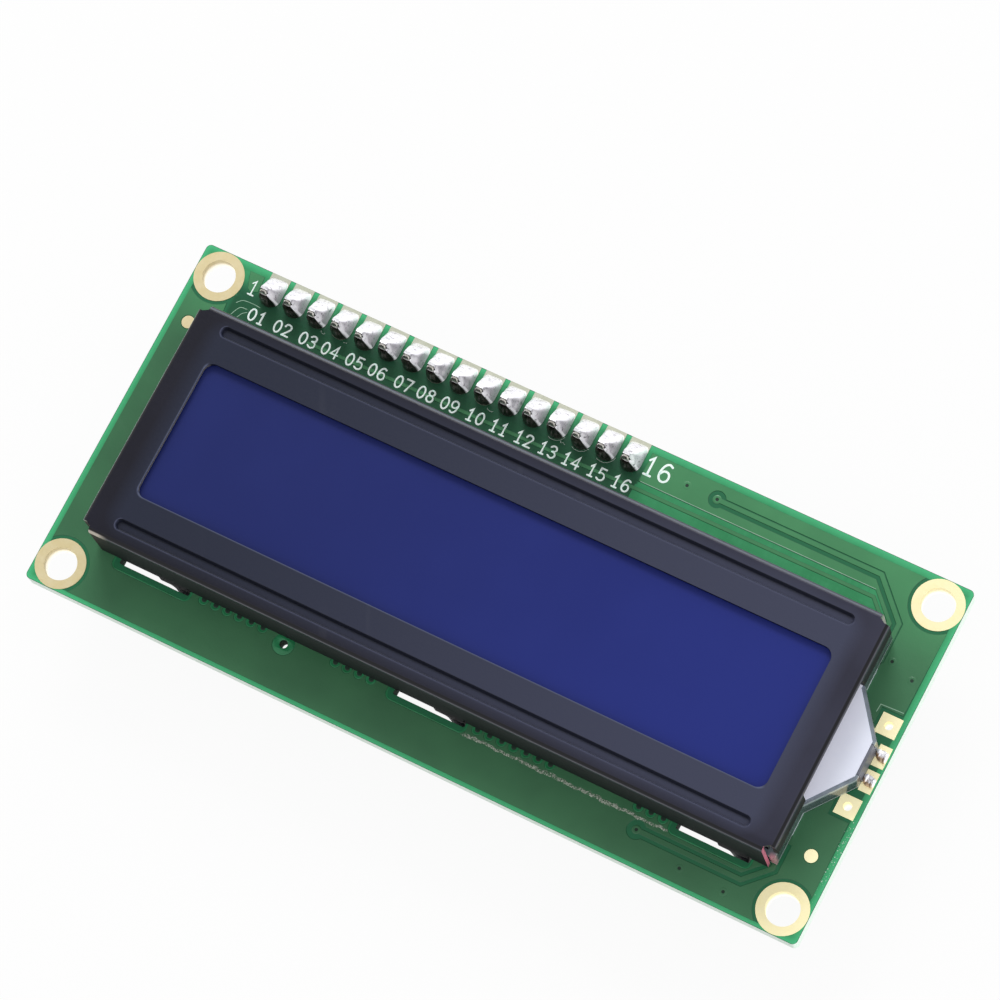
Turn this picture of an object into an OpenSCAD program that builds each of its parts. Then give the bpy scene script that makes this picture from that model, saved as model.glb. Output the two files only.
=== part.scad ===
// Character display module: a 16 x 2 liquid crystal cell with an edge-lit backlight,
// held on a green circuit board by a stamped steel bezel, with a soldered 16-pin header.
// Origin: middle of the four mounting holes, on the front face of the board.
// X runs along the board, Y towards the header edge, Z out of the screen.

/* [Circuit board] */
// Length of the board
board_len = 80; // [72:0.5:90]
// Depth of the board, across the screen
board_dep = 36; // [33:0.5:42]
// Thickness of the board
board_thk = 1.6; // [1:0.2:2.4]
// Radius of the board's corners
board_corner_r = 0.5; // [0.2:0.1:1.5]
// Thickness of the copper and gold on the board's faces
copper_thk = 0.05; // [0.03:0.01:0.1]

/* [Mounting holes] */
// Distance from the board's edges to the hole centres
hole_inset = 2.5; // [2.5:0.1:3]
// Clear diameter of the mounting holes
hole_d = 3.2; // [2.5:0.1:3.4]
// Diameter of the gold ring round each mounting hole
ring_d = 4.9; // [4:0.1:4.9]

/* [Header] */
// Number of pins in the header
pin_count = 16; // [14:1:16]
// Distance from pin to pin
pin_pitch = 2.54; // [2:0.01:2.54]
// Distance from the board's left edge to the first pin
first_pin_x = 8; // [7:0.1:9]
// Distance from the header edge to the row of pins
pin_row_inset = 2.5; // [2.4:0.1:2.6]
// Width of a square pin
pin_w = 0.64; // [0.5:0.02:0.7]
// Height of the pin tips above the front of the board
pin_tip_h = 2.9; // [2.6:0.1:3.4]
// Length of the pins behind the plastic bar
pin_tail_len = 6; // [3:0.5:12]
// Height of the plastic bar that holds the pins
bar_h = 2.5; // [1.5:0.1:3]
// Depth of the plastic bar
bar_dep = 2.4; // [1.8:0.1:2.5]
// Clear diameter of the plated holes for the pins
pin_hole_d = 1; // [0.96:0.02:1.1]
// Width of each gold pad at the header
pad_w = 2; // [1.7:0.05:2.1]
// Height of the solder round a pin
solder_h = 2.4; // [1.2:0.1:2.4]

/* [Bezel] */
// Distance from the board's ends to the bezel
bezel_end_margin = 4.4; // [4.2:0.1:5.4]
// Distance from the board's lower edge to the bezel
bezel_lower_margin = 5.35; // [5.1:0.05:5.8]
// Distance from the board's header edge to the bezel
bezel_upper_margin = 6.65; // [6.4:0.05:7]
// Height of the bezel's face above the board
bezel_h = 6.1; // [5.8:0.1:7.5]
// Thickness of the steel sheet
sheet_thk = 0.4; // [0.3:0.05:0.5]
// Outer radius of the folds
fold_r = 0.5; // [0.45:0.05:0.7]
// Width of the bezel's face beside the window, at its ends
window_end_border = 3.3; // [2.8:0.1:5]
// Width of the bezel's face beside the window, at its long sides
window_side_border = 4.925; // [4.6:0.025:5.4]
// Radius of the window's corners
window_r = 1; // [0.4:0.1:2]
// Distance from the bezel's ends to the pressed grooves
groove_end_gap = 3; // [2:0.1:8]
// Width of the grooves at the face
groove_w = 1.1; // [0.9:0.1:1.2]
// Width of the grooves at their floor
groove_floor_w = 0.7; // [0.5:0.1:0.8]
// Depth of the grooves
groove_depth = 0.4; // [0.3:0.05:0.5]
// Distance from the bezel's long sides to the middle of each groove
groove_inset = 1.8; // [1.7:0.05:2]
// Relief cut at the bezel's corners, along its length
relief_len = 1; // [0.75:0.05:1.4]
// Relief cut at the bezel's corners, across it
relief_dep = 0.8; // [0.75:0.05:1.4]
// Width of the opening in each short side
side_gap_w = 11.6; // [9:0.2:14]
// Height above the board at which the walls of the short sides end
side_wall_foot = 3.6; // [3:0.1:4.4]
// Length of the slots in the board for the tabs
slot_len = 7.4; // [5:0.1:8]
// Distance from the bezel's ends to the middle of the outer slots
slot_end_inset = 6.6; // [5:0.1:10]
// Width of the tabs that go through the slots
tab_w = 3.1; // [2:0.1:3.6]
// Clearance left at the end of the slot beside a tab
tab_end_gap = 0.3; // [0.2:0.05:0.5]
// Length of a tab behind the board
tab_tail_len = 1.8; // [1.4:0.1:3]
// Angle by which the tails of the tabs are twisted
tab_twist = 25; // [10:1:30]

/* [Display cell] */
// Distance from the bezel's ends to the glass plates
glass_end_gap = 0.8; // [0.6:0.05:1.2]
// Distance from the bezel's long sides to the front glass
glass_side_gap = 0.7; // [0.5:0.05:0.8]
// Distance from the contact strips to the rear glass
strip_glass_gap = 0.3; // [0.2:0.05:0.5]
// Thickness of each glass plate
glass_thk = 1.1; // [0.7:0.05:1.1]
// Gap between the glass plates, filled by the seal
cell_gap = 0.1; // [0.05:0.05:0.2]
// Width of the seal between the glass plates
seal_w = 1.2; // [0.8:0.1:1.6]
// Distance from the glass's ends to both polarizing films
polarizer_end_gap = 0.8; // [0.5:0.05:1.4]
// Distance from the rear glass's long sides to both polarizing films
polarizer_side_gap = 0.3; // [0.1:0.05:0.6]
// Thickness of a polarizing film
polarizer_thk = 0.2; // [0.15:0.05:0.25]

/* [Contact strips] */
// Distance from the glass's ends to the rubber contact strips
strip_end_gap = 1.8; // [1.4:0.1:4]
// Width of the rubber contact strips
strip_w = 2; // [1.6:0.1:2]
// Distance from the middle of a groove to the middle of its strip
strip_shift = 0.1; // [0:0.05:0.15]

/* [Backlight] */
// Clearance between the light guide and the bezel's long walls
guide_side_gap = 0.1; // [0.05:0.05:0.15]
// Distance by which the light guide ends inside the bezel's ends
guide_end_gap = 0.35; // [0.3:0.05:0.38]
// Thickness of the diffusing film and of the reflecting film
film_thk = 0.15; // [0.1:0.05:0.2]
// Distance from the contact strips' slots to the films
film_side_gap = 0.5; // [0.2:0.05:0.8]
// Distance from the guide's plain end to the films
film_edge_gap = 0.5; // [0.2:0.05:1]
// Width of the guide's nose where it leaves the bezel
nose_root_w = 12.6; // [10:0.1:13.6]
// Width of the guide's nose at the lamp
nose_tip_w = 4; // [3.6:0.1:5]
// Length of the guide's nose
nose_len = 3.35; // [2.5:0.05:3.4]
// Margin of clear plastic left round the film on the nose
film_margin = 0.35; // [0.2:0.05:0.6]
// Clearance of the contact strips in the guide's slots
slot_gap = 0.1; // [0.05:0.05:0.15]
// Size of the lamp along the board
lamp_len = 1; // [0.6:0.1:1.2]
// Size of the lamp across the board
lamp_w = 3; // [2.4:0.1:3]
// Place of the lamp's leads across the bezel, from its middle
lamp_shift = 0.1; // [0:0.05:0.2]
// Distance between the lamp's two leads
lead_pitch = 2.54; // [2.3:0.02:2.6]
// Width of a lamp lead
lead_w = 0.5; // [0.4:0.05:0.6]
// Size of the small gold pads for the leads, across the board
lead_pad_w = 2.1; // [1.8:0.05:2.2]
// Distance between the two spare square pads
spare_pad_pitch = 8.2; // [7.6:0.1:9]
// Size of a spare square pad
spare_pad_w = 2; // [1.7:0.1:2.2]

/* [Small marks] */
// Diameter of the gold alignment dots
mark_d = 1.25; // [0.8:0.05:1.5]
// Distance from the board's left end to the dot there
left_mark_inset = 2; // [1.6:0.1:2.2]
// Distance from the header edge to the left dot
left_mark_drop = 7.7; // [7:0.1:9]
// Distance from the board's right end to the dot there
right_mark_inset = 2.4; // [1.6:0.1:2.6]
// Distance from the lower edge to the right dot
right_mark_rise = 7.9; // [7:0.1:9]
// Diameter of the locating hole
locator_d = 0.8; // [0.6:0.1:1.2]
// Distance from the board's left end to the locating hole
locator_inset = 25.15; // [20:0.05:27]
// Distance from the lower edge to the locating hole
locator_rise = 4.7; // [4:0.1:4.9]

/* [Rear of the board] */
// Diameter of the moulded cover over each chip
chip_cover_d = 12.5; // [10:0.5:14]
// Height of the chip covers
chip_cover_h = 1.5; // [1:0.1:2]
// Distance from the board's ends to the middle of the chip covers
chip_cover_inset = 24.5; // [18:0.5:28]
// Length of a chip resistor
resistor_len = 2; // [1.6:0.1:2.2]
// Width of a chip resistor
resistor_w = 1.25; // [0.8:0.05:1.3]
// Height of a chip resistor
resistor_h = 0.5; // [0.4:0.05:0.7]

/* [Hidden] */

$fn = 48;
// Overhang that lets a cut pass right through
cut = 1;

bezel_len = board_len - 2 * bezel_end_margin;
bezel_dep = board_dep - bezel_lower_margin - bezel_upper_margin;
bezel_y = (bezel_lower_margin - bezel_upper_margin) / 2;
hole_x = board_len / 2 - hole_inset;
hole_y = board_dep / 2 - hole_inset;
plating_thk = copper_thk;

// Header
pin_x0 = -board_len / 2 + first_pin_x;
pin_y = board_dep / 2 - pin_row_inset;
pin_chamfer = pin_w / 5;
pad_round_y = pin_y + 0.25;
bar_top_z = -board_thk - copper_thk;
bar_chamfer = 0.45;
pin_bottom_z = bar_top_z - bar_h - pin_tail_len;

// Heights of the stack, from the board's face to the bezel
reflector_z = 0;
guide_z = reflector_z + film_thk;
face_z = bezel_h - sheet_thk;
rear_polarizer_top = face_z - groove_depth - 2 * glass_thk - cell_gap;
rear_polarizer_z = rear_polarizer_top - polarizer_thk;
diffuser_z = rear_polarizer_z - film_thk;
guide_thk = diffuser_z - guide_z;
rear_glass_z = rear_polarizer_top;
seal_z = rear_glass_z + glass_thk;
front_glass_z = seal_z + cell_gap;
front_polarizer_z = front_glass_z + glass_thk;

// Bezel
window_len = bezel_len - 2 * window_end_border;
window_dep = bezel_dep - 2 * window_side_border;
groove_len = bezel_len - 2 * groove_end_gap;
groove_off = bezel_dep / 2 - groove_inset;
bend_x = bezel_len / 2 - fold_r;
bend_y = bezel_dep / 2 - fold_r;
long_wall_len = bezel_len - 2 * relief_len;
short_wall_len = bezel_dep - 2 * relief_dep;
slot_pitch = bezel_len / 2 - slot_end_inset;
slot_front_gap = 0.45;
slot_rear_gap = 0.35;
slot_dep = sheet_thk + slot_front_gap + slot_rear_gap;
slot_shift = 0.2;
tab_shift = slot_len / 2 - tab_end_gap - tab_w / 2;
tab_neck_len = board_thk - 0.6;
twist_len = 1.4;
twist_steps = 7;
notch_w = 0.3;
notch_h = 0.5;

// Display cell and backlight, in the bezel's frame
glass_len = bezel_len - 2 * glass_end_gap;
front_glass_dep = bezel_dep - 2 * glass_side_gap;
strip_len = glass_len - 2 * strip_end_gap;
strip_off = groove_off - strip_shift;
strip_h = front_glass_z;
rear_glass_dep = 2 * strip_off - strip_w - 2 * strip_glass_gap;
polarizer_len = glass_len - 2 * polarizer_end_gap;
polarizer_dep = rear_glass_dep - 2 * polarizer_side_gap;
guide_len = bezel_len - 2 * guide_end_gap;
guide_dep = bezel_dep - 2 * sheet_thk - 2 * guide_side_gap;
film_dep = 2 * strip_off - strip_w - 2 * slot_gap - 2 * film_side_gap;
guide_end_x = guide_len / 2;
nose_end_x = guide_end_x + nose_len;
film_end_gap = 0.25;
lamp_gap = 0.05;
lead_thk = 0.15;
lamp_z = copper_thk + lead_thk;
lamp_h = diffuser_z - lamp_z;
lead_pad_len = 1.2;
lead_pad_x = nose_end_x + 0.6;
lead_len = lead_pad_len;
spare_pad_x = nose_end_x - 0.1;
spare_hole_d = 0.8;

// Small parts on the rear
chip_cover_x = board_len / 2 - chip_cover_inset;
chip_cover_y = -1;
resistor_row_y = pin_y - 6.9;
resistor_pitch = 3.4;
resistor_row_x = 8;
terminal_len = 0.35;
capacitor_x = -8.5;
capacitor_pitch = 3.4;
capacitor_h = 0.85;

// Rectangle with true arcs at its corners
module round_rect(len, dep, r) {
  square([len - 2 * r, dep], center = true);
  square([len, dep - 2 * r], center = true);
  for (sx = [-1, 1])
    for (sy = [-1, 1])
      translate([sx * (len / 2 - r), sy * (dep / 2 - r)])
        circle(r = r);
}

// Flat sheet of a given size and height, centred on the axis
module sheet(len, dep, thk) {
  linear_extrude(height = thk)
    square([len, dep], center = true);
}

// Places its children at the four mounting holes
module at_mounting_holes() {
  for (sx = [-1, 1])
    for (sy = [-1, 1])
      translate([sx * hole_x, sy * hole_y, 0])
        children();
}

// Places its children at each header pin
module at_header_pins() {
  for (i = [0 : pin_count - 1])
    translate([pin_x0 + i * pin_pitch, pin_y, 0])
      children();
}

// Moves from the board's frame to the bezel's
module in_bezel() {
  translate([0, bezel_y, 0])
    children();
}

// Places its children at the six slots, turned so that the outside faces -Y
module at_slots() {
  for (side = [0, 180])
    rotate(side)
      for (i = [-1, 0, 1])
        translate([i * slot_pitch + slot_shift, -bezel_dep / 2, 0])
          children();
}

// Board

// Slot in the board for one tab, with room in front of the sheet and behind it
module tab_slot() {
  translate([0, slot_dep / 2 - slot_front_gap, -board_thk - cut])
    linear_extrude(height = board_thk + 2 * cut)
      round_rect(slot_len, slot_dep, 0.15);
}

module circuit_board() {
  color("seagreen")
    difference() {
      translate([0, 0, -board_thk])
        linear_extrude(height = board_thk)
          round_rect(board_len, board_dep, board_corner_r);
      at_mounting_holes()
        translate([0, 0, -board_thk - cut])
          cylinder(d = hole_d + 2 * plating_thk, h = board_thk + 2 * cut);
      at_header_pins()
        translate([0, 0, -board_thk - cut])
          cylinder(d = pin_hole_d + 2 * plating_thk, h = board_thk + 2 * cut);
      in_bezel()
        at_slots()
          tab_slot();
      in_bezel()
        at_spare_pads()
          translate([0, 0, -board_thk - cut])
            cylinder(d = spare_hole_d + 2 * plating_thk, h = board_thk + 2 * cut);
      translate([-board_len / 2 + locator_inset, -board_dep / 2 + locator_rise, -board_thk - cut])
        cylinder(d = locator_d, h = board_thk + 2 * cut);
    }
}

// Plated hole with a ring on both faces of the board
module plated_hole(bore_d, ring_d) {
  difference() {
    union() {
      translate([0, 0, -board_thk - copper_thk])
        cylinder(d = bore_d + 2 * plating_thk, h = board_thk + 2 * copper_thk);
      cylinder(d = ring_d, h = copper_thk);
      translate([0, 0, -board_thk - copper_thk])
        cylinder(d = ring_d, h = copper_thk);
    }
    translate([0, 0, -board_thk - cut])
      cylinder(d = bore_d, h = board_thk + 2 * cut);
  }
}

module mounting_hole_plating() {
  color("burlywood")
    at_mounting_holes()
      plated_hole(hole_d, ring_d);
}

// Outline of one header pad: square at the board's edge, round at its inner end
module header_pad_outline() {
  edge = board_dep / 2 - pad_round_y;
  translate([0, pad_round_y - pin_y]) {
    circle(d = pad_w);
    translate([-pad_w / 2, 0])
      square([pad_w, edge]);
  }
}

module header_pads() {
  color("goldenrod")
    at_header_pins()
      difference() {
        union() {
          linear_extrude(height = copper_thk)
            header_pad_outline();
          translate([0, 0, -board_thk - copper_thk])
            linear_extrude(height = copper_thk)
              header_pad_outline();
          translate([0, 0, -board_thk - copper_thk])
            cylinder(d = pin_hole_d + 2 * plating_thk, h = board_thk + 2 * copper_thk);
        }
        translate([0, 0, -board_thk - cut])
          cylinder(d = pin_hole_d, h = board_thk + 2 * cut);
      }
}

// Places its children at the two spare square pads beside the lamp
module at_spare_pads() {
  for (side = [-1, 1])
    translate([spare_pad_x, lamp_shift + side * spare_pad_pitch / 2, 0])
      children();
}

module spare_lamp_pads() {
  color("gold")
    in_bezel()
      at_spare_pads()
        difference() {
          union() {
            sheet(spare_pad_w, spare_pad_w, copper_thk);
            translate([0, 0, -board_thk - copper_thk])
              sheet(spare_pad_w, spare_pad_w, copper_thk);
            translate([0, 0, -board_thk - copper_thk])
              cylinder(d = spare_hole_d + 2 * plating_thk, h = board_thk + 2 * copper_thk);
          }
          translate([0, 0, -board_thk - cut])
            cylinder(d = spare_hole_d, h = board_thk + 2 * cut);
        }
}

// Places its children at the two lamp leads
module at_leads() {
  for (side = [-1, 1])
    translate([lead_pad_x, lamp_shift + side * lead_pitch / 2, 0])
      children();
}

module lead_pads() {
  color("gold")
    in_bezel()
      at_leads()
        sheet(lead_pad_len, lead_pad_w, copper_thk);
}

module alignment_marks() {
  color("gold") {
    translate([-board_len / 2 + left_mark_inset, board_dep / 2 - left_mark_drop, 0])
      cylinder(d = mark_d, h = copper_thk);
    translate([board_len / 2 - right_mark_inset, -board_dep / 2 + right_mark_rise, 0])
      cylinder(d = mark_d, h = copper_thk);
  }
}

// Bezel: one stamped and folded sheet of steel

// Fold along X at the edge y = dep / 2: a quarter of a tube
module fold_x(len, dep) {
  translate([-len / 2, dep / 2 - fold_r, bezel_h - fold_r])
    rotate([90, 0, 90])
      linear_extrude(height = len)
        intersection() {
          difference() {
            circle(r = fold_r);
            circle(r = fold_r - sheet_thk);
          }
          square(fold_r + cut);
        }
}

// Upright wall along X at the edge y = dep / 2, between two heights
module wall_x(len, dep, z0) {
  translate([-len / 2, dep / 2 - sheet_thk, z0])
    cube([len, sheet_thk, bezel_h - fold_r - z0]);
}

// Solid in the form of a pressed groove: sloping sides and round ends
module groove_form(len, top_w, floor_w, depth) {
  straight = len - top_w;
  rotate([90, 0, 90])
    translate([0, 0, -straight / 2])
      linear_extrude(height = straight)
        polygon([[-top_w / 2, 0], [top_w / 2, 0], [floor_w / 2, -depth], [-floor_w / 2, -depth]]);
  for (end = [-1, 1])
    translate([end * straight / 2, 0, 0])
      rotate_extrude()
        polygon([[0, 0], [top_w / 2, 0], [floor_w / 2, -depth], [0, -depth]]);
}

// Tab through the board, with its tail twisted behind the board to hold it
module twist_tab() {
  tail_z = -board_thk - tab_tail_len;
  twist_z = -tab_neck_len - twist_len;
  translate([tab_shift, 0, 0]) {
    translate([-tab_w / 2, 0, -tab_neck_len])
      cube([tab_w, sheet_thk, tab_neck_len]);
    translate([0, sheet_thk / 2, 0]) {
      for (i = [1 : twist_steps])
        translate([0, 0, -tab_neck_len - i * twist_len / twist_steps])
          rotate(-tab_twist * i / (twist_steps + 1))
            linear_extrude(height = twist_len / twist_steps)
              square([tab_w, sheet_thk], center = true);
      translate([0, 0, tail_z])
        rotate(-tab_twist)
          linear_extrude(height = twist_z - tail_z)
            square([tab_w, sheet_thk], center = true);
    }
  }
}

// Notch cut in the wall's foot beside a tab
module tab_notch() {
  translate([tab_shift + tab_w / 2, -cut, -cut])
    cube([notch_w, sheet_thk + 2 * cut, notch_h + cut]);
}

// Face of the bezel between its folds, cut across at the corners
module bezel_face() {
  across = short_wall_len / 2;
  along = long_wall_len / 2;
  linear_extrude(height = sheet_thk)
    polygon([[-bend_x, -across], [-along, -bend_y], [along, -bend_y], [bend_x, -across],
             [bend_x, across], [along, bend_y], [-along, bend_y], [-bend_x, across]]);
}

module bezel() {
  color("#30323f")
    in_bezel() {
      difference() {
        union() {
          translate([0, 0, face_z])
            bezel_face();
          for (side = [-1, 1])
            translate([0, side * groove_off, face_z])
              groove_form(groove_len + sheet_thk, groove_w + sheet_thk,
                          groove_floor_w + sheet_thk, groove_depth);
        }
        translate([0, 0, face_z - cut])
          linear_extrude(height = sheet_thk + 2 * cut)
            round_rect(window_len, window_dep, window_r);
        for (side = [-1, 1])
          translate([0, side * groove_off, bezel_h])
            groove_form(groove_len, groove_w, groove_floor_w, groove_depth);
      }
      difference() {
        for (side = [0, 180])
          rotate(side) {
            fold_x(long_wall_len, bezel_dep);
            wall_x(long_wall_len, bezel_dep, 0);
          }
        at_slots()
          tab_notch();
      }
      for (side = [90, 270])
        rotate(side) {
          fold_x(short_wall_len, bezel_len);
          difference() {
            wall_x(short_wall_len, bezel_len, side_wall_foot);
            translate([-side_gap_w / 2, bezel_len / 2 - sheet_thk - cut, side_wall_foot - cut])
              cube([side_gap_w, sheet_thk + 2 * cut, bezel_h]);
          }
        }
      at_slots()
        twist_tab();
    }
}

// Display cell

module front_polarizer() {
  color("midnightblue")
    in_bezel()
      translate([0, 0, front_polarizer_z])
        sheet(polarizer_len, polarizer_dep, polarizer_thk);
}

module front_glass() {
  color("lightcyan")
    in_bezel()
      translate([0, 0, front_glass_z])
        sheet(glass_len, front_glass_dep, glass_thk);
}

module cell_seal() {
  seal_len = glass_len - 0.4;
  seal_dep = rear_glass_dep - 0.4;
  color("ivory")
    in_bezel()
      translate([0, 0, seal_z])
        difference() {
          sheet(seal_len, seal_dep, cell_gap);
          translate([0, 0, -cut])
            sheet(seal_len - 2 * seal_w, seal_dep - 2 * seal_w, cell_gap + 2 * cut);
        }
}

module rear_glass() {
  color("lightcyan")
    in_bezel()
      translate([0, 0, rear_glass_z])
        sheet(glass_len, rear_glass_dep, glass_thk);
}

module rear_polarizer() {
  color("navy")
    in_bezel()
      translate([0, 0, rear_polarizer_z])
        sheet(polarizer_len, polarizer_dep, polarizer_thk);
}

// Rubber strip that joins the front glass to the board
module contact_strip(side) {
  color("dimgray")
    in_bezel()
      translate([0, side * strip_off, 0])
        sheet(strip_len, strip_w, strip_h);
}

// Backlight

// Outline of the guide's nose, drawn in by a margin at its sides and a gap at its end
module nose_outline(margin, end_gap) {
  slope = (nose_root_w - nose_tip_w) / 2 / nose_len;
  side_margin = margin * sqrt(1 + slope * slope);
  root = nose_root_w / 2 - side_margin;
  tip = nose_tip_w / 2 - side_margin + slope * end_gap;
  polygon([[guide_end_x, -root], [nose_end_x - end_gap, -tip], [nose_end_x - end_gap, tip],
           [guide_end_x, root]]);
}

module light_guide() {
  color("aliceblue")
    in_bezel()
      translate([0, 0, guide_z])
        difference() {
          linear_extrude(height = guide_thk) {
            square([guide_len, guide_dep], center = true);
            nose_outline(0, 0);
          }
          for (side = [-1, 1])
            translate([0, side * strip_off, -cut])
              sheet(strip_len + 2 * slot_gap, strip_w + 2 * slot_gap, guide_thk + 2 * cut);
          translate([nose_end_x - lamp_len - lamp_gap, -lamp_w / 2 - lamp_gap, -cut])
            cube([lamp_len + lamp_gap + cut, lamp_w + 2 * lamp_gap, guide_thk + 2 * cut]);
        }
}

// Film that covers the guide between the strips, and its nose
module guide_film(end_gap) {
  linear_extrude(height = film_thk) {
    translate([-guide_len / 2 + film_edge_gap, -film_dep / 2])
      square([guide_len - film_edge_gap, film_dep]);
    nose_outline(film_margin, end_gap);
  }
}

module diffusing_film() {
  color("lavender")
    in_bezel()
      translate([0, 0, diffuser_z])
        guide_film(film_end_gap);
}

module reflecting_film() {
  color("white")
    in_bezel()
      translate([0, 0, reflector_z])
        guide_film(lamp_len + 2 * lamp_gap);
}

module backlight_lamp() {
  color("dimgray")
    in_bezel()
      translate([nose_end_x - lamp_len, -lamp_w / 2, lamp_z])
        cube([lamp_len, lamp_w, lamp_h]);
}

// Flat leads that come from under the lamp and lie on the small pads
module lamp_leads() {
  color("silver")
    in_bezel()
      at_leads()
        translate([-lead_len / 2 - 0.2, -lead_w / 2, copper_thk])
          cube([lead_len, lead_w, lead_thk]);
}

module lead_solder() {
  bead_r = 0.3;
  color("silver")
    in_bezel()
      at_leads()
        for (end = [-1, 1])
          translate([end * 0.28 + 0.05, 0, copper_thk + lead_thk])
            intersection() {
              sphere(r = bead_r);
              cylinder(r = bead_r, h = bead_r);
            }
}

// Header

module header_bar() {
  color("#202022")
    difference() {
      at_header_pins()
        translate([0, 0, bar_top_z - bar_h])
          linear_extrude(height = bar_h)
            polygon([[-pin_pitch / 2, -bar_dep / 2 + bar_chamfer],
                     [-pin_pitch / 2 + bar_chamfer, -bar_dep / 2],
                     [pin_pitch / 2 - bar_chamfer, -bar_dep / 2],
                     [pin_pitch / 2, -bar_dep / 2 + bar_chamfer],
                     [pin_pitch / 2, bar_dep / 2 - bar_chamfer],
                     [pin_pitch / 2 - bar_chamfer, bar_dep / 2],
                     [-pin_pitch / 2 + bar_chamfer, bar_dep / 2],
                     [-pin_pitch / 2, bar_dep / 2 - bar_chamfer]]);
      at_header_pins()
        translate([-pin_w / 2, -pin_w / 2, bar_top_z - bar_h - cut])
          cube([pin_w, pin_w, bar_h + 2 * cut]);
    }
}

// Side view of a pin with chamfered ends, as thick as it is wide
module pin_blade() {
  translate([0, pin_w / 2, 0])
    rotate([90, 0, 0])
      linear_extrude(height = pin_w)
        polygon([[-pin_w / 2, pin_bottom_z + pin_chamfer], [-pin_w / 2 + pin_chamfer, pin_bottom_z],
                 [pin_w / 2 - pin_chamfer, pin_bottom_z], [pin_w / 2, pin_bottom_z + pin_chamfer],
                 [pin_w / 2, pin_tip_h - pin_chamfer], [pin_w / 2 - pin_chamfer, pin_tip_h],
                 [-pin_w / 2 + pin_chamfer, pin_tip_h], [-pin_w / 2, pin_tip_h - pin_chamfer]]);
}

// Square pin, counted from 1 at the board's left end
module header_pin(number) {
  if (number <= pin_count)
    color("gainsboro")
      translate([pin_x0 + (number - 1) * pin_pitch, pin_y, 0])
        intersection() {
          pin_blade();
          rotate(90)
            pin_blade();
        }
}

// Half of the front view of a solder joint: wide at its foot, drawn in towards the top
module joint_section(foot_r, neck_r) {
  top = copper_thk + solder_h;
  polygon([[0, copper_thk], [foot_r, copper_thk], [foot_r - 0.03, copper_thk + 0.12],
           [neck_r, top - 0.1], [neck_r - 0.1, top], [0, top]]);
}

// Solder on one pin: a steep cone, a ramp of the same width down to the board's edge, and
// the filled hole
module solder_joint() {
  foot_r = pad_w / 2 - 0.12;
  neck_r = foot_r - 0.28;
  cone_y = (pad_round_y - pin_y) * 0.6;
  ramp_len = pin_row_inset - 0.5;
  top = copper_thk + solder_h;
  difference() {
    union() {
      translate([0, cone_y, 0])
        rotate_extrude()
          joint_section(foot_r, neck_r);
      intersection() {
        translate([0, ramp_len + cone_y, 0])
          rotate([90, 0, 0])
            linear_extrude(height = ramp_len)
              for (side = [0, 1])
                mirror([side, 0])
                  joint_section(foot_r, neck_r);
        translate([-foot_r, 0, 0])
          rotate([90, 0, 90])
            linear_extrude(height = 2 * foot_r)
              polygon([[cone_y, copper_thk], [ramp_len, copper_thk], [ramp_len, copper_thk + 0.12],
                       [cone_y + neck_r, top - 0.1], [cone_y + neck_r - 0.1, top], [cone_y, top]]);
      }
      translate([0, 0, -board_thk - copper_thk])
        cylinder(d = pin_hole_d, h = board_thk + 2 * copper_thk);
    }
    translate([-pin_w / 2, -pin_w / 2, -board_thk - cut])
      cube([pin_w, pin_w, board_thk + 2 * cut + top]);
  }
}

module header_solder() {
  color("whitesmoke")
    at_header_pins()
      solder_joint();
}

// Rear of the board

// Low dome of moulded resin over a chip: a spherical cap on a short drum
module chip_cover(side) {
  drum_h = 0.35;
  rise = chip_cover_h - drum_h;
  cap_r = (chip_cover_d * chip_cover_d / 4 + rise * rise) / (2 * rise);
  color("#181818")
    translate([side * chip_cover_x, chip_cover_y, -board_thk])
      rotate([180, 0, 0])
        rotate_extrude($fn = 64)
          intersection() {
            union() {
              square([chip_cover_d / 2, drum_h]);
              translate([0, chip_cover_h - cap_r])
                circle(r = cap_r, $fn = 200);
            }
            square([chip_cover_d / 2, chip_cover_h]);
          }
}

// Small block with metal ends that stands on the board's rear
module chip_part(height) {
  translate([0, 0, -board_thk - height])
    linear_extrude(height = height)
      square([resistor_len, resistor_w - 0.08], center = true);
  for (end = [-1, 1])
    translate([end * (resistor_len / 2 - terminal_len / 2), 0, -board_thk - height - 0.03])
      linear_extrude(height = height + 0.03)
        square([terminal_len, resistor_w], center = true);
}

module chip_resistor(number) {
  color("#2a2a2c")
    translate([resistor_row_x + (number - 1) * resistor_pitch, resistor_row_y, 0])
      chip_part(resistor_h);
}

module chip_capacitor(number) {
  color("tan")
    translate([capacitor_x - (number - 1) * capacitor_pitch, resistor_row_y, 0])
      chip_part(capacitor_h);
}

circuit_board();
mounting_hole_plating();
header_pads();
spare_lamp_pads();
lead_pads();
alignment_marks();
bezel();
front_polarizer();
front_glass();
cell_seal();
rear_glass();
rear_polarizer();
diffusing_film();
light_guide();
reflecting_film();
contact_strip(1);  // contact_strip_upper
contact_strip(-1);  // contact_strip_lower
backlight_lamp();
lamp_leads();
lead_solder();
header_bar();
header_solder();
header_pin(1);  // header_pin_01
header_pin(2);  // header_pin_02
header_pin(3);  // header_pin_03
header_pin(4);  // header_pin_04
header_pin(5);  // header_pin_05
header_pin(6);  // header_pin_06
header_pin(7);  // header_pin_07
header_pin(8);  // header_pin_08
header_pin(9);  // header_pin_09
header_pin(10);  // header_pin_10
header_pin(11);  // header_pin_11
header_pin(12);  // header_pin_12
header_pin(13);  // header_pin_13
header_pin(14);  // header_pin_14
header_pin(15);  // header_pin_15
header_pin(16);  // header_pin_16
chip_cover(-1);  // controller_cover
chip_cover(1);  // driver_cover
chip_resistor(1);  // chip_resistor_1
chip_resistor(2);  // chip_resistor_2
chip_resistor(3);  // chip_resistor_3
chip_resistor(4);  // chip_resistor_4
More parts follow.
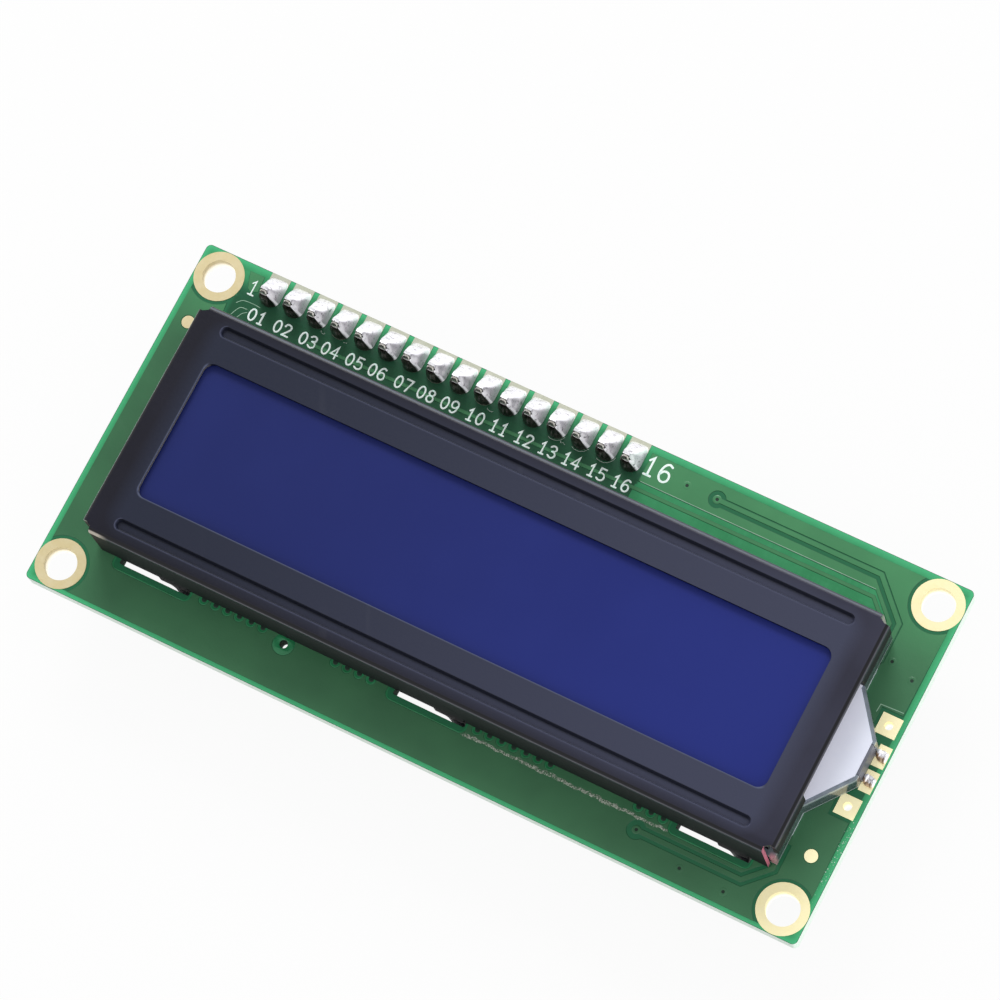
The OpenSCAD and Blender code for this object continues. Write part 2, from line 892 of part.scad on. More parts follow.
chip_resistor(5);  // chip_resistor_5
chip_resistor(6);  // chip_resistor_6
chip_capacitor(1);  // chip_capacitor_1
chip_capacitor(2);  // chip_capacitor_2
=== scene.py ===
import math
from functools import cached_property
from types import SimpleNamespace

import bmesh
import bpy
import numpy as np
from mathutils import Matrix, Vector
from mathutils.geometry import tessellate_polygon


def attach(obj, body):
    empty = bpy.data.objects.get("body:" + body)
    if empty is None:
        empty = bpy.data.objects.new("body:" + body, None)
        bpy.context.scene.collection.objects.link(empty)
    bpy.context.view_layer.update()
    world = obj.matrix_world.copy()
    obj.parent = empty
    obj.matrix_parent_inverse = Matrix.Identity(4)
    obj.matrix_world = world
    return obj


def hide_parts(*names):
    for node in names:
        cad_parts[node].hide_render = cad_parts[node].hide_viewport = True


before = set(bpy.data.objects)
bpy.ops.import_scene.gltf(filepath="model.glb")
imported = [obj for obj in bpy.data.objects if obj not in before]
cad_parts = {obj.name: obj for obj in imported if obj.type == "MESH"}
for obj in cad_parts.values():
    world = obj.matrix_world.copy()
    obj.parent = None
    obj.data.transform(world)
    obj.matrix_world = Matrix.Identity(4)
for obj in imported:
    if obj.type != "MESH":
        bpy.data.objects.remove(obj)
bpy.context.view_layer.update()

MM = 0.001

# Places and sizes that the source gives, in millimetres
BOARD_X, BOARD_Y, BOARD_THK = 40.0, 18.0, 1.6
HOLE_X, HOLE_Y, RING_R = 37.5, 15.5, 2.45
CELL_Y = -0.65
PIN_COUNT, PIN_Y = 16, 15.5
PIN_X = -32.0 + 2.54 * np.arange(PIN_COUNT)
COPPER = 0.05

rng = np.random.default_rng(1602)


# Camera

def make_camera():
    """A long lens at the photograph's viewing angle, 71 degrees above the board."""
    camera = bpy.data.cameras.new("camera")
    camera.sensor_width = 36.0
    camera.lens = 189.23
    camera.clip_start = 0.01
    camera.clip_end = 20.0
    holder = bpy.data.objects.new("camera", camera)
    bpy.context.scene.collection.objects.link(holder)
    turn = Matrix((
        (0.8744489, -0.40426474, 0.2681588),
        (0.46130224, 0.86400179, -0.20174528),
        (-0.15013118, 0.30011819, 0.94201364),
    ))
    holder.matrix_world = Matrix.Translation((0.12571295, -0.08959395, 0.45278385)) @ turn.to_4x4()
    bpy.context.scene.camera = holder


make_camera()


# Meshes

def make_piece(name, points, faces, material, sharp=38, slot="solder_mask", replaces=()):
    """Mesh object from points in millimetres and faces as lists of point numbers; it rides on the board.
    Edges that turn by more than the sharp angle, in degrees, stay crisp."""
    mesh = bpy.data.meshes.new(name)
    mesh.from_pydata((np.asarray(points, float) * MM).tolist(), [], [list(map(int, f)) for f in faces])
    mesh.validate()
    work = bmesh.new()
    work.from_mesh(mesh)
    bmesh.ops.remove_doubles(work, verts=work.verts, dist=1e-7)
    bmesh.ops.dissolve_degenerate(work, edges=work.edges, dist=1e-8)
    bmesh.ops.recalc_face_normals(work, faces=work.faces)
    work.to_mesh(mesh)
    work.free()
    mesh.polygons.foreach_set("use_smooth", [True] * len(mesh.polygons))
    mesh.set_sharp_from_angle(angle=math.radians(sharp))
    piece = bpy.data.objects.new(name, mesh)
    bpy.context.scene.collection.objects.link(piece)
    piece.data.materials.append(material)
    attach(piece, "root")
    if replaces:
        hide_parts(*replaces)


class Heap:
    """Points and faces of many small solids, gathered before they become one piece."""

    def __init__(self):
        self.points, self.faces, self.count = [], [], 0

    def add(self, points, faces):
        self.points.append(np.asarray(points, float))
        self.faces.extend([[i + self.count for i in f] for f in faces])
        self.count += len(points)

    def piece(self, name, material, **rest):
        make_piece(name, np.concatenate(self.points), self.faces, material, **rest)


def grid_faces(rows, columns, closed=False):
    """Quads of a grid of rows x columns points; closed joins the last column to the first."""
    i, j = np.meshgrid(np.arange(rows - 1), np.arange(columns if closed else columns - 1), indexing="ij")
    i2, j2 = i + 1, (j + 1) % columns
    quads = np.stack([i * columns + j, i * columns + j2, i2 * columns + j2, i2 * columns + j], -1)
    return quads.reshape(-1, 4).tolist()


def tube(rows):
    """Closed solid from a grid of points: each row is a ring, and the first and the last ring are its caps."""
    count, columns = rows.shape[:2]
    faces = grid_faces(count, columns, closed=True)
    faces.append(list(range(columns)))
    faces.append([(count - 1) * columns + k for k in range(columns - 1, -1, -1)])
    return rows.reshape(-1, 3), faces


def sideways(path):
    """Unit steps to the left at each point of a path, longer at its corners so that its sides stay parallel."""
    step = np.diff(path, axis=0)
    step /= np.linalg.norm(step, axis=1)[:, None]
    before, after = np.concatenate([step[:1], step]), np.concatenate([step, step[-1:]])
    mean = before + after
    mean /= np.linalg.norm(mean, axis=1)[:, None]
    return np.stack([-mean[:, 1], mean[:, 0]], -1) / np.clip((mean * after).sum(1), 0.4, 1)[:, None]


def stroke(path, half_width, z0, z1, bevel=0.25):
    """Flat raised line along a path: a trapezoid carried along it, with mitred corners.
    Over each end the half width falls as the square root of 1 minus t squared, which rounds it."""
    path = np.asarray(path, float)
    t = np.linspace(0, 1, 5)[1:] * 0.999
    first, last = path[0] - path[1], path[-1] - path[-2]
    first, last = first / np.linalg.norm(first), last / np.linalg.norm(last)
    head = path[0] + first * half_width * t[::-1, None]
    tail = path[-1] + last * half_width * t[:, None]
    centre = np.concatenate([head, path, tail])
    width = np.concatenate([np.sqrt(1 - t[::-1] ** 2), np.ones(len(path)), np.sqrt(1 - t ** 2)]) * half_width
    normal = sideways(centre) * width[:, None]
    inner = 1 - bevel * (z1 - z0) / half_width
    rim = [centre - normal, centre - normal * inner, centre + normal * inner, centre + normal]
    return tube(np.stack([np.column_stack([r, np.full(len(r), h)]) for r, h in zip(rim, (z0, z1, z1, z0))], 1))


def circle(x, y, r, steps=32, start=0.0, turn=2 * math.pi):
    """Points on an arc about x, y, from the start angle through a turn; a full turn leaves out its last point."""
    full = abs(abs(turn) - 2 * math.pi) < 1e-9
    a = start + np.linspace(0, turn, steps + 1)[: steps if full else steps + 1]
    return np.column_stack([x + r * np.cos(a), y + r * np.sin(a)])


def oval(x, y, rx, ry, steps=24):
    """Closed oval with its first point given again at the end."""
    a = np.linspace(0.5 * math.pi, 2.5 * math.pi, steps + 1)
    return np.column_stack([x + rx * np.cos(a), y + ry * np.sin(a)])


def rounded(x0, y0, x1, y1, r, steps=6):
    """Outline of a rectangle with round corners, anticlockwise."""
    quarter = math.pi / 2
    return np.concatenate([
        circle(x1 - r, y0 + r, r, steps, -quarter, quarter),
        circle(x1 - r, y1 - r, r, steps, 0, quarter),
        circle(x0 + r, y1 - r, r, steps, quarter, quarter),
        circle(x0 + r, y0 + r, r, steps, 2 * quarter, quarter),
    ])


def curve_through(points, steps=6):
    """Smooth line through points, by the Catmull-Rom rule: each span is a cubic set by its four nearest ones."""
    p = np.asarray(points, float)
    p = np.concatenate([[2 * p[0] - p[1]], p, [2 * p[-1] - p[-2]]])
    t = np.linspace(0, 1, steps, endpoint=False)[:, None, None]
    a, b, c, d = (p[i:len(p) - 3 + i][None] for i in range(4))
    q = 0.5 * (2 * b + (c - a) * t + (2 * a - 5 * b + 4 * c - d) * t ** 2 + (3 * b - a - 3 * c + d) * t ** 3)
    return np.concatenate([q.transpose(1, 0, 2).reshape(-1, 2), p[-2:-1]])


def dome(x, y, profile, steps=24):
    """Closed turned solid: a profile of radius and height carried round a circle about x, y."""
    a = np.linspace(0, 2 * math.pi, steps, endpoint=False)
    radius, height = profile[:, 0, None], profile[:, 1, None]
    return tube(np.stack([x + radius * np.cos(a), y + radius * np.sin(a), np.repeat(height, steps, 1)], -1))


def channel(path, left_width, right_width, start_r, steps=20):
    """Outline of the gap round a track: a band along the path, swelling to a circle at its first end."""
    left, right = path + sideways(path) * left_width, path - sideways(path) * right_width
    way = path[1] - path[0]
    heading = math.atan2(way[1], way[0])
    first, last = math.asin(min(left_width / start_r, 1.0)), math.asin(min(right_width / start_r, 1.0))
    swell = circle(*path[0], start_r, steps, heading + first, 2 * math.pi - first - last)
    return np.concatenate([swell, right[1:], left[:0:-1]])


def plate(outline, holes, z0, z1, bevel, heap):
    """Thin closed plate with holes, its rim sloping out by the bevel from z1 to z0.
    The rim's foot is each outline moved along the mean normal of its two sides, away from the plate."""
    loops = [np.asarray(outline, float)] + [np.asarray(h, float) for h in holes]
    fixed, feet = [], []
    for n, loop in enumerate(loops):
        following = np.roll(loop, -1, 0)
        area = (loop[:, 0] * following[:, 1] - following[:, 0] * loop[:, 1]).sum()
        if (area < 0) == (n == 0):
            loop = loop[::-1]
        ahead = np.roll(loop, -1, 0) - loop
        ahead /= np.maximum(np.linalg.norm(ahead, axis=1), 1e-9)[:, None]
        mean = ahead + np.roll(ahead, 1, 0)
        mean /= np.maximum(np.linalg.norm(mean, axis=1), 1e-6)[:, None]
        fixed.append(loop)
        feet.append(loop + np.stack([mean[:, 1], -mean[:, 0]], -1) * bevel)
    triangles = tessellate_polygon([[Vector((p[0], p[1], 0.0)) for p in loop] for loop in fixed])
    flat, spread = np.concatenate(fixed), np.concatenate(feet)
    count = len(flat)
    points = np.concatenate([
        np.column_stack([flat, np.full(count, z1)]),
        np.column_stack([spread, np.full(count, z0)]),
    ])
    faces = [list(t) for t in triangles]
    faces += [[i + count for i in t][::-1] for t in triangles]
    start = 0
    for loop in fixed:
        i = start + np.arange(len(loop))
        j = start + (np.arange(len(loop)) + 1) % len(loop)
        faces += np.stack([i, j, j + count, i + count], -1).tolist()
        start += len(loop)
    heap.add(points, faces)


# Shader nodes

def sign(operation, turned=False):
    """Arithmetic sign of a Value, as one math node; turned puts the other side first."""
    def act(value, other):
        return value.graph.math(operation, *((other, value) if turned else (value, other)))
    return act


class Value:
    """Output of a node. Plain arithmetic on it adds math nodes."""

    def __init__(self, graph, socket):
        self.graph, self.socket = graph, socket

    __add__, __radd__ = sign("ADD"), sign("ADD", True)
    __sub__, __rsub__ = sign("SUBTRACT"), sign("SUBTRACT", True)
    __mul__, __rmul__ = sign("MULTIPLY"), sign("MULTIPLY", True)

    def __abs__(self):
        return self.graph.math("ABSOLUTE", self)


class Graph:
    """Short ways to add and join the nodes of one material or group."""

    def __init__(self, tree):
        self.tree = tree
        self.column = 0

    def add(self, kind, inputs=None, **settings):
        node = self.tree.nodes.new(kind)
        self.column += 1
        node.location = (self.column * 190, -(self.column % 4) * 160)
        for key, value in settings.items():
            setattr(node, key, value)
        for key, value in (inputs or {}).items():
            self.feed(node.inputs[key], value)
        return node

    def feed(self, socket, value):
        """Joins a value to a socket, or sets the socket to a number or colour."""
        value = getattr(value, "socket", value)
        if isinstance(value, bpy.types.NodeSocket):
            self.tree.links.new(value, socket)
        elif hasattr(socket.default_value, "__len__") and hasattr(value, "__len__"):
            size = len(socket.default_value)
            socket.default_value = (list(value) + [1.0])[:size] if size > len(value) else value
        else:
            socket.default_value = value

    def values(self, node):
        return {socket.name: Value(self, socket) for socket in node.outputs}

    def math(self, operation, a, b=0.0, clamp=False):
        node = self.add("ShaderNodeMath", {0: a, 1: b}, operation=operation, use_clamp=clamp)
        return Value(self, node.outputs[0])

    def most(self, a, b):
        return self.math("MAXIMUM", a, b)

    def ramp(self, value, low, high, to_low=0.0, to_high=1.0):
        """Smooth step from to_low, up to low, to to_high, from high on."""
        return self.values(self.add("ShaderNodeMapRange", {
            "Value": value, "From Min": low, "From Max": high, "To Min": to_low, "To Max": to_high,
        }, interpolation_type="SMOOTHSTEP"))["Result"]

    def fall(self, value, low, high):
        return self.ramp(value, low, high, 1.0, 0.0)

    def mix(self, factor, a, b):
        return Value(self, self.add("ShaderNodeMix", {0: factor, 6: a, 7: b}, data_type="RGBA").outputs[2])

    def noise(self, vector, scale, detail):
        return self.values(self.add("ShaderNodeTexNoise", {
            "Vector": vector, "Scale": scale, "Detail": detail, "Roughness": 0.55,
        }))["Fac"]

    def stretch(self, vector, scale):
        return self.add("ShaderNodeMapping", {"Vector": vector, "Scale": scale}).outputs["Vector"]

    def split(self, vector):
        outputs = self.add("ShaderNodeSeparateXYZ", {"Vector": vector}).outputs
        return SimpleNamespace(**{key: Value(self, socket) for key, socket in zip("xyz", outputs)})

    def group(self, tree, **inputs):
        node = self.add("ShaderNodeGroup", node_tree=tree)
        for key, value in inputs.items():
            self.feed(node.inputs[key.replace("_", " ")], value)
        return self.values(node)


def new_group(name, inputs, outputs):
    """Empty shader group with named sockets; each input is a name, a kind and a first value."""
    tree = bpy.data.node_groups.new(name, "ShaderNodeTree")
    for key, kind, value in inputs:
        socket = tree.interface.new_socket(key, in_out="INPUT", socket_type="NodeSocket" + kind)
        if value is not None:
            socket.default_value = value
    for key, kind in outputs:
        tree.interface.new_socket(key, in_out="OUTPUT", socket_type="NodeSocket" + kind)
    graph = Graph(tree)
    return tree, graph, graph.values(graph.add("NodeGroupInput")), graph.add("NodeGroupOutput").inputs


def make_mottle():
    """Slow change of tone over a surface, with finer grain on top of it."""
    tree, g, given, out = new_group("mottle", [
        ("Vector", "Vector", None), ("Scale", "Float", 200.0), ("Grain", "Float", 4000.0),
    ], [("Tone", "Float"), ("Grain", "Float")])
    g.feed(out["Tone"], g.ramp(g.noise(given["Vector"], given["Scale"], 3.0), 0.3, 0.7))
    g.feed(out["Grain"], g.noise(given["Vector"], given["Grain"], 2.0))
    return tree


def make_rectangle_mask():
    """1 inside a rectangle with round corners on the XY plane, 0 outside; the edge is soft over a given width.
    The distance beyond the edge is the length of x and y past the corner's centre, less the corner's radius."""
    tree, g, given, out = new_group("rectangle_mask", [
        ("Vector", "Vector", None), ("Centre X", "Float", 0.0), ("Centre Y", "Float", 0.0),
        ("Half X", "Float", 0.01), ("Half Y", "Float", 0.01), ("Softness", "Float", 0.0001),
        ("Corner", "Float", 0.0),
    ], [("Mask", "Float")])
    at = g.split(given["Vector"])
    dx = abs(at.x - given["Centre X"]) - given["Half X"]
    dy = abs(at.y - given["Centre Y"]) - given["Half Y"]
    dx, dy = dx + given["Corner"], dy + given["Corner"]
    past_x, past_y = g.most(dx, 0.0), g.most(dy, 0.0)
    past = g.math("SQRT", past_x * past_x + past_y * past_y)
    within = g.math("MINIMUM", g.most(dx, dy), 0.0)
    distance = past + within - given["Corner"]
    g.feed(out["Mask"], g.math("SUBTRACT", 1.0, g.math("DIVIDE", distance, given["Softness"], True), True))
    return tree


def make_dust():
    """Sparse pale specks: the middles of large cells, kept where a slow noise is high."""
    tree, g, given, out = new_group("dust", [
        ("Vector", "Vector", None), ("Scale", "Float", 900.0), ("Amount", "Float", 0.5),
    ], [("Mask", "Float")])
    cells = g.add("ShaderNodeTexVoronoi", {"Vector": given["Vector"], "Scale": given["Scale"]}).outputs
    chance = g.add("ShaderNodeSeparateColor", {"Color": cells["Color"]}).outputs[0]
    kept = g.math("GREATER_THAN", chance, 1.0 - given["Amount"])
    g.feed(out["Mask"], g.fall(cells["Distance"], 0.04, 0.12) * kept)
    return tree


def make_fine_scratches():
    """Thin straight scratches: noise stretched along one direction, cut at its crests."""
    tree, g, given, out = new_group("fine_scratches", [
        ("Vector", "Vector", None), ("Scale", "Float", 300.0), ("Angle", "Vector", (0.0, 0.0, 0.4)),
    ], [("Mask", "Float")])
    turned = g.add("ShaderNodeVectorRotate", {"Vector": given["Vector"], "Rotation": given["Angle"]},
                   rotation_type="EULER_XYZ").outputs[0]
    lines = g.noise(g.stretch(turned, (0.03, 1.0, 1.0)), given["Scale"], 1.0)
    patches = g.noise(given["Vector"], 90.0, 1.0)
    g.feed(out["Mask"], g.ramp(lines, 0.66, 0.72) * g.ramp(patches, 0.45, 0.65))
    return tree


def make_pressed_rim():
    """Rim of a long hole or groove with round ends, which runs along X. Light is 1 on the thin line that the
    lower and left rim catches, and Deep is 1 on the shaded slope just inside the upper rim."""
    tree, g, given, out = new_group("pressed_rim", [
        ("Vector", "Vector", None), ("Centre Y", "Float", 0.0), ("Half Length", "Float", 0.03),
        ("Radius", "Float", 0.0005), ("Width", "Float", 0.0001),
    ], [("Light", "Float"), ("Deep", "Float")])
    at = g.split(given["Vector"])
    beyond = g.most(abs(at.x) - given["Half Length"], 0.0)
    dy = at.y - given["Centre Y"]
    far = g.math("SQRT", beyond * beyond + dy * dy)
    distance = far - given["Radius"]
    near = g.math("SUBTRACT", 1.0, g.math("DIVIDE", abs(distance), given["Width"], True), True)
    low = g.fall(dy, -0.0002, 0.0001)
    left = g.ramp(at.x + given["Half Length"], -0.0003, 0.0, 1.6, 0.0)
    g.feed(out["Light"], near * g.most(low, left))
    inside = g.math("LESS_THAN", distance, 0.00002)
    g.feed(out["Deep"], inside * g.ramp(dy, 0.00015, 0.00042))
    return tree


# Places on the bezel, in metres: its middle line, the middles of its grooves, and half its window's length
CELL_MIDDLE = -0.00065
GROOVES = (0.00955, -0.01085)
WINDOW_HALF = 0.0323

MOTTLE = make_mottle()
RECTANGLE = make_rectangle_mask()
RIM = make_pressed_rim()
DUST = make_dust()
SCRATCHES = make_fine_scratches()


class Paint(Graph):
    """Material with a Principled shader. Where is the object's coordinates and at is their parts, way is the
    parts of the surface's own direction, and tone and grain come from the mottle."""

    def __init__(self, name, scale, grain):
        self.material = bpy.data.materials.new(name)
        self.material.use_nodes = True
        super().__init__(self.material.node_tree)
        self.shader = self.tree.nodes["Principled BSDF"].inputs
        self.where = self.add("ShaderNodeTexCoord").outputs["Object"]
        mottle = self.group(MOTTLE, Vector=self.where, Scale=scale, Grain=grain)
        self.tone, self.grain = mottle["Tone"], mottle["Grain"]

    @cached_property
    def at(self):
        return self.split(self.where)

    @cached_property
    def way(self):
        return self.split(self.add("ShaderNodeNewGeometry").outputs["Normal"])

    def set(self, name, value):
        self.feed(self.shader[name], value)

    def rectangle(self, half_x, half_y, softness, **rest):
        sizes = {"Half_X": half_x, "Half_Y": half_y, "Softness": softness}
        return self.group(RECTANGLE, Vector=self.where, **sizes, **rest)["Mask"]

    def dust(self, scale, amount):
        return self.group(DUST, Vector=self.where, Scale=scale, Amount=amount)["Mask"]

    def scratches(self, scale, angle):
        return self.group(SCRATCHES, Vector=self.where, Scale=scale, Angle=(0.0, 0.0, angle))["Mask"]

    def glow(self, colour, strength):
        self.set("Emission Color", colour)
        self.set("Emission Strength", strength)

    def rough(self, slope, base):
        return self.grain * slope + base

    def bump(self, height, strength, distance):
        node = self.add("ShaderNodeBump", {"Height": height, "Strength": strength, "Distance": distance})
        self.set("Normal", node.outputs[0])


def board_mask_material():
    """Green mask over bare laminate in the gaps between copper, and the board's cut sides with cream fibres."""
    g = Paint("mask_over_laminate", 260.0, 5200.0)
    green = g.mix(g.tone, (0.006, 0.092, 0.036), (0.009, 0.112, 0.046))
    # Painted light: the wide open parts of the laminate are a lighter green, as light comes through them.
    light_through_part = g.most(g.ramp(g.at.x, 0.0076, 0.0080), g.fall(g.at.y, 0.0084, 0.0088))
    light_through_part = g.most(light_through_part, g.fall(g.at.x, -0.0354, -0.0350))
    green = g.mix(light_through_part, green, (0.013, 0.155, 0.064))
    side = g.fall(abs(g.way.z), 0.3, 0.7)
    outer = g.rectangle(0.0398, 0.0178, 0.00001)
    fibres = g.noise(g.stretch(g.where, (0.35, 0.35, 3.0)), 5200.0, 2.0)
    crumbs = g.noise(g.where, 3500.0, 3.0)
    cut = g.mix(fibres, (0.52, 0.62, 0.55), (0.80, 0.85, 0.80))
    cut = g.mix(g.ramp(crumbs, 0.55, 0.75), cut, (0.86, 0.92, 0.88))
    # Painted shade: the cut walls inside the holes and slots are dark green.
    cut = g.mix(outer, cut, (0.020, 0.055, 0.030))
    g.set("Base Color", g.mix(side, green, cut))
    # Painted glow on the board's outer cut sides, strongest on the side that faces right.
    glow = side * (1.0 - outer) * g.ramp(g.way.x, 0.0, 0.8, 0.25, 1.0)
    g.glow(g.mix(glow, (0.0, 0.0, 0.0), (0.30, 0.36, 0.32)), 1.0)
    g.set("Roughness", g.most(g.rough(0.14, 0.24), side * 0.85))
    g.bump(g.grain * 0.12 + side * fibres, 0.35, 0.00006)
    return g.material


def pale_mask_material():
    """Green mask over laminate that light comes through: palest at the board's edge, deep towards the labels,
    with a very faint weave of the glass cloth."""
    g = Paint("pale_mask", 420.0, 5200.0)
    threads = [g.noise(g.stretch(g.where, scale), 2600.0, 1.0) for scale in ((1.0, 0.12, 1.0), (0.12, 1.0, 1.0))]
    weave = threads[0] * threads[1]
    inner = g.mix(g.tone, (0.028, 0.285, 0.105), (0.040, 0.330, 0.130))
    inner = g.mix(g.ramp(weave, 0.2, 0.4, 0.0, 0.25), inner, (0.060, 0.400, 0.175))
    # Painted light that comes through the laminate makes it palest at the board's edge.
    rim = g.rectangle(0.03925, 0.01725, 0.0007)
    green = g.mix(rim, (0.064, 0.500, 0.215), inner)
    # Deep green in the header row, from the labels up past the joints: the laminate's plain green, with painted
    # shade of the solder joints.
    row = g.fall(abs(g.at.x + 0.0138), 0.0212, 0.0215)
    header = g.fall(g.at.y, 0.0149, 0.0169) * g.ramp(g.at.y, 0.0140, 0.0141) * row
    g.set("Base Color", g.mix(header, green, (0.008, 0.105, 0.045)))
    g.set("Roughness", g.rough(0.14, 0.24))
    g.bump(g.grain + weave, 0.10, 0.00003)
    return g.material


def copper_mask_material():
    """Green mask over copper: duller and greyer than over the laminate, lighter towards the header edge,
    with dust and faint scratches."""
    g = Paint("mask_over_copper", 150.0, 4200.0)
    dust = g.dust(620.0, 0.03)
    marks = g.scratches(420.0, 0.5)
    # Painted light: the mask over copper is lighter towards the header edge and a little lighter to the right.
    low = g.mix(g.tone, (0.037, 0.150, 0.066), (0.045, 0.178, 0.077))
    high = g.mix(g.tone, (0.056, 0.250, 0.102), (0.066, 0.285, 0.116))
    right = g.mix(g.tone, (0.044, 0.170, 0.075), (0.052, 0.195, 0.088))
    green = g.mix(g.ramp(g.at.y, 0.008, 0.015), g.mix(g.ramp(g.at.x, 0.02, 0.036), low, right), high)
    green = g.mix(marks * 0.10, green, (0.14, 0.30, 0.20))
    green = g.mix(dust * 0.45, green, (0.45, 0.55, 0.48))
    slope = g.fall(g.way.z, 0.75, 0.98)
    g.set("Base Color", g.mix(slope, green, (0.012, 0.10, 0.042)))
    g.set("Roughness", g.rough(0.16, 0.26) + marks * 0.15)
    g.bump(g.grain, 0.14, 0.00004)
    return g.material


def gold_material(name, metallic, left, right, lift):
    """Thin gold on copper: satin, paler to the right, and brightest low down in a hole, where light comes up.
    Left and right are its colours at the board's two ends, and lift is how much the right end glows."""
    g = Paint(name, 900.0, 7000.0)
    # Painted light: paler to the right, a stronger painted glow at the low right end, and the palest colour and
    # glow low on the hole walls, where light comes up.
    along = g.ramp(g.at.x, -0.036, 0.036)
    gold = g.mix(g.tone * 0.12, g.mix(along, left, right), (1.0, 1.0, 0.9))
    low_right = g.fall(g.at.y, -0.009, -0.001) * g.ramp(g.at.x, 0.020, 0.036)
    wall = g.fall(abs(g.way.z), 0.2, 0.5) * g.fall(g.at.z, -0.0014, -0.0004)
    g.set("Base Color", g.mix(wall, gold, (1.0, 0.97, 0.88)))
    glow = g.mix(along, (0.0, 0.0, 0.0), (0.20 * lift, 0.175 * lift, 0.11 * lift))
    glow = g.mix(low_right, glow, (0.35 * lift, 0.315 * lift, 0.19 * lift))
    g.glow(g.mix(wall, glow, (0.6, 0.56, 0.48)), 0.6)
    g.set("Metallic", metallic)
    g.set("Roughness", g.rough(0.2, 0.42))
    g.bump(g.grain, 0.25, 0.00002)
    return g.material


def bezel_material():
    """Dark semi-gloss paint on folded steel: fine orange peel, thin light lines where the folds and the pressed
    rims catch the light, and bare steel at the sheared edges of the window and the corners."""
    g = Paint("painted_steel", 110.0, 3600.0)
    marks = g.scratches(520.0, 1.1)
    dust = g.dust(1100.0, 0.02)
    # Painted reflection of the studio: the paint gets lighter and bluer to the right. It is lighter in the zone
    # round the window and darker on the strip below the lower groove.
    along = g.ramp(g.at.x, -0.034, 0.034)
    outer = g.mix(along, (0.0065, 0.0065, 0.0135), (0.033, 0.034, 0.060))
    outer = g.mix(g.tone, outer, g.mix(along, (0.010, 0.010, 0.020), (0.022, 0.022, 0.040)))
    inner = g.mix(along, (0.016, 0.020, 0.040), (0.044, 0.049, 0.088))
    zone = g.rectangle(0.0325, 0.0101, 0.0016, Centre_Y=CELL_MIDDLE, Corner=0.001)
    lower = g.fall(g.at.y, -0.0119, -0.0113)
    outer = g.mix(lower * 0.45, outer, (0.007, 0.007, 0.015))
    paint = g.mix(zone, outer, inner)
    paint = g.mix(marks * 0.012, paint, (0.10, 0.10, 0.14))
    paint = g.mix(dust * 0.3, paint, (0.30, 0.30, 0.33))
    flat = g.ramp(g.way.z, 0.9, 0.99)
    # Painted highlight along the grooves' lower and left rims, and painted shade on the slope inside their upper
    # rims.
    for centre in GROOVES:
        rim = g.group(RIM, Vector=g.where, Centre_Y=centre, Half_Length=0.03205, Radius=0.00056, Width=0.00012)
        paint = g.mix(rim["Light"] * 0.55, paint, (0.080, 0.088, 0.150))
        paint = g.mix(rim["Deep"] * 0.8, paint, (0.006, 0.007, 0.012))
    # Painted highlight: a light line on the face along the window's lower and left edges.
    window = g.rectangle(WINDOW_HALF, 0.007075, 0.00014, Centre_Y=CELL_MIDDLE, Corner=0.0008)
    low_left = g.most(g.fall(g.at.y, -0.0076, -0.0072), g.fall(g.at.x, -WINDOW_HALF, 0.0003 - WINDOW_HALF))
    paint = g.mix(window * flat * low_left, paint, (0.090, 0.105, 0.175))
    # Folds below and at the ends: a line of painted shade where the face turns down, then a line of painted
    # highlight above the wall. The fold towards the header has the painted highlight alone; at the left end it is
    # pale green.
    face = g.rectangle(0.03500, 0.01142, 0.00004, Centre_Y=CELL_MIDDLE)
    fold = 1.0 - face
    header_side = g.ramp(g.at.y, 0.0109, 0.0110)
    fold_shade_line = g.fall(g.at.z, 0.00606, 0.00609) * g.ramp(g.at.z, 0.00588, 0.00594) * fold * (1.0 - header_side)
    fold_highlight_line = g.fall(g.at.z, 0.00582, 0.00588) * g.ramp(g.at.z, 0.00566, 0.00572)
    fold_top_highlight = g.fall(g.at.z, 0.00605, 0.00608) * g.ramp(g.at.z, 0.00594, 0.00598)
    fold_highlight_line = g.most(fold_highlight_line * (1.0 - header_side), fold_top_highlight * header_side)
    paint = g.mix(fold_shade_line, paint, (0.004, 0.004, 0.007))
    left_side = g.fall(g.at.x, -0.0354, -0.0352)
    fold_highlight_tone = g.mix(header_side, (0.085, 0.085, 0.100), (0.12, 0.14, 0.17))
    fold_highlight_tone = g.mix(left_side, fold_highlight_tone, (0.42, 0.60, 0.54))
    paint = g.mix(fold_highlight_line * fold, paint, fold_highlight_tone)
    upright = g.fall(abs(g.way.z), 0.1, 0.3)
    # Painted shade: the upright walls below the face are near black.
    wall = upright * g.fall(g.at.z, 0.0050, 0.0055)
    paint = g.mix(wall, paint, (0.006, 0.008, 0.009))
    # Painted highlight on the fold's end at the lower left, then the sheared ends and window edge
    fold_end_highlight = g.fall(g.at.x, -0.0338, -0.0325) * g.fall(g.at.y, -0.0124, -0.0123)
    fold_end_highlight = fold_end_highlight * g.ramp(g.at.z, 0.0052, 0.0054) * g.fall(g.at.z, 0.0059, 0.0060)
    paint = g.mix(fold_end_highlight * 0.8, paint, (0.62, 0.56, 0.48))
    across = abs(g.at.x)
    cut_end = g.ramp(abs(g.way.x), 0.9, 0.98) * g.ramp(across, 0.0344, 0.0345) * g.fall(across, 0.0348, 0.0349)
    daub = g.ramp(g.at.x, 0.0343, 0.0345) * g.fall(g.at.y, -0.0120, -0.0116)
    hole = g.rectangle(0.03235, 0.00713, 0.00002, Centre_Y=CELL_MIDDLE)
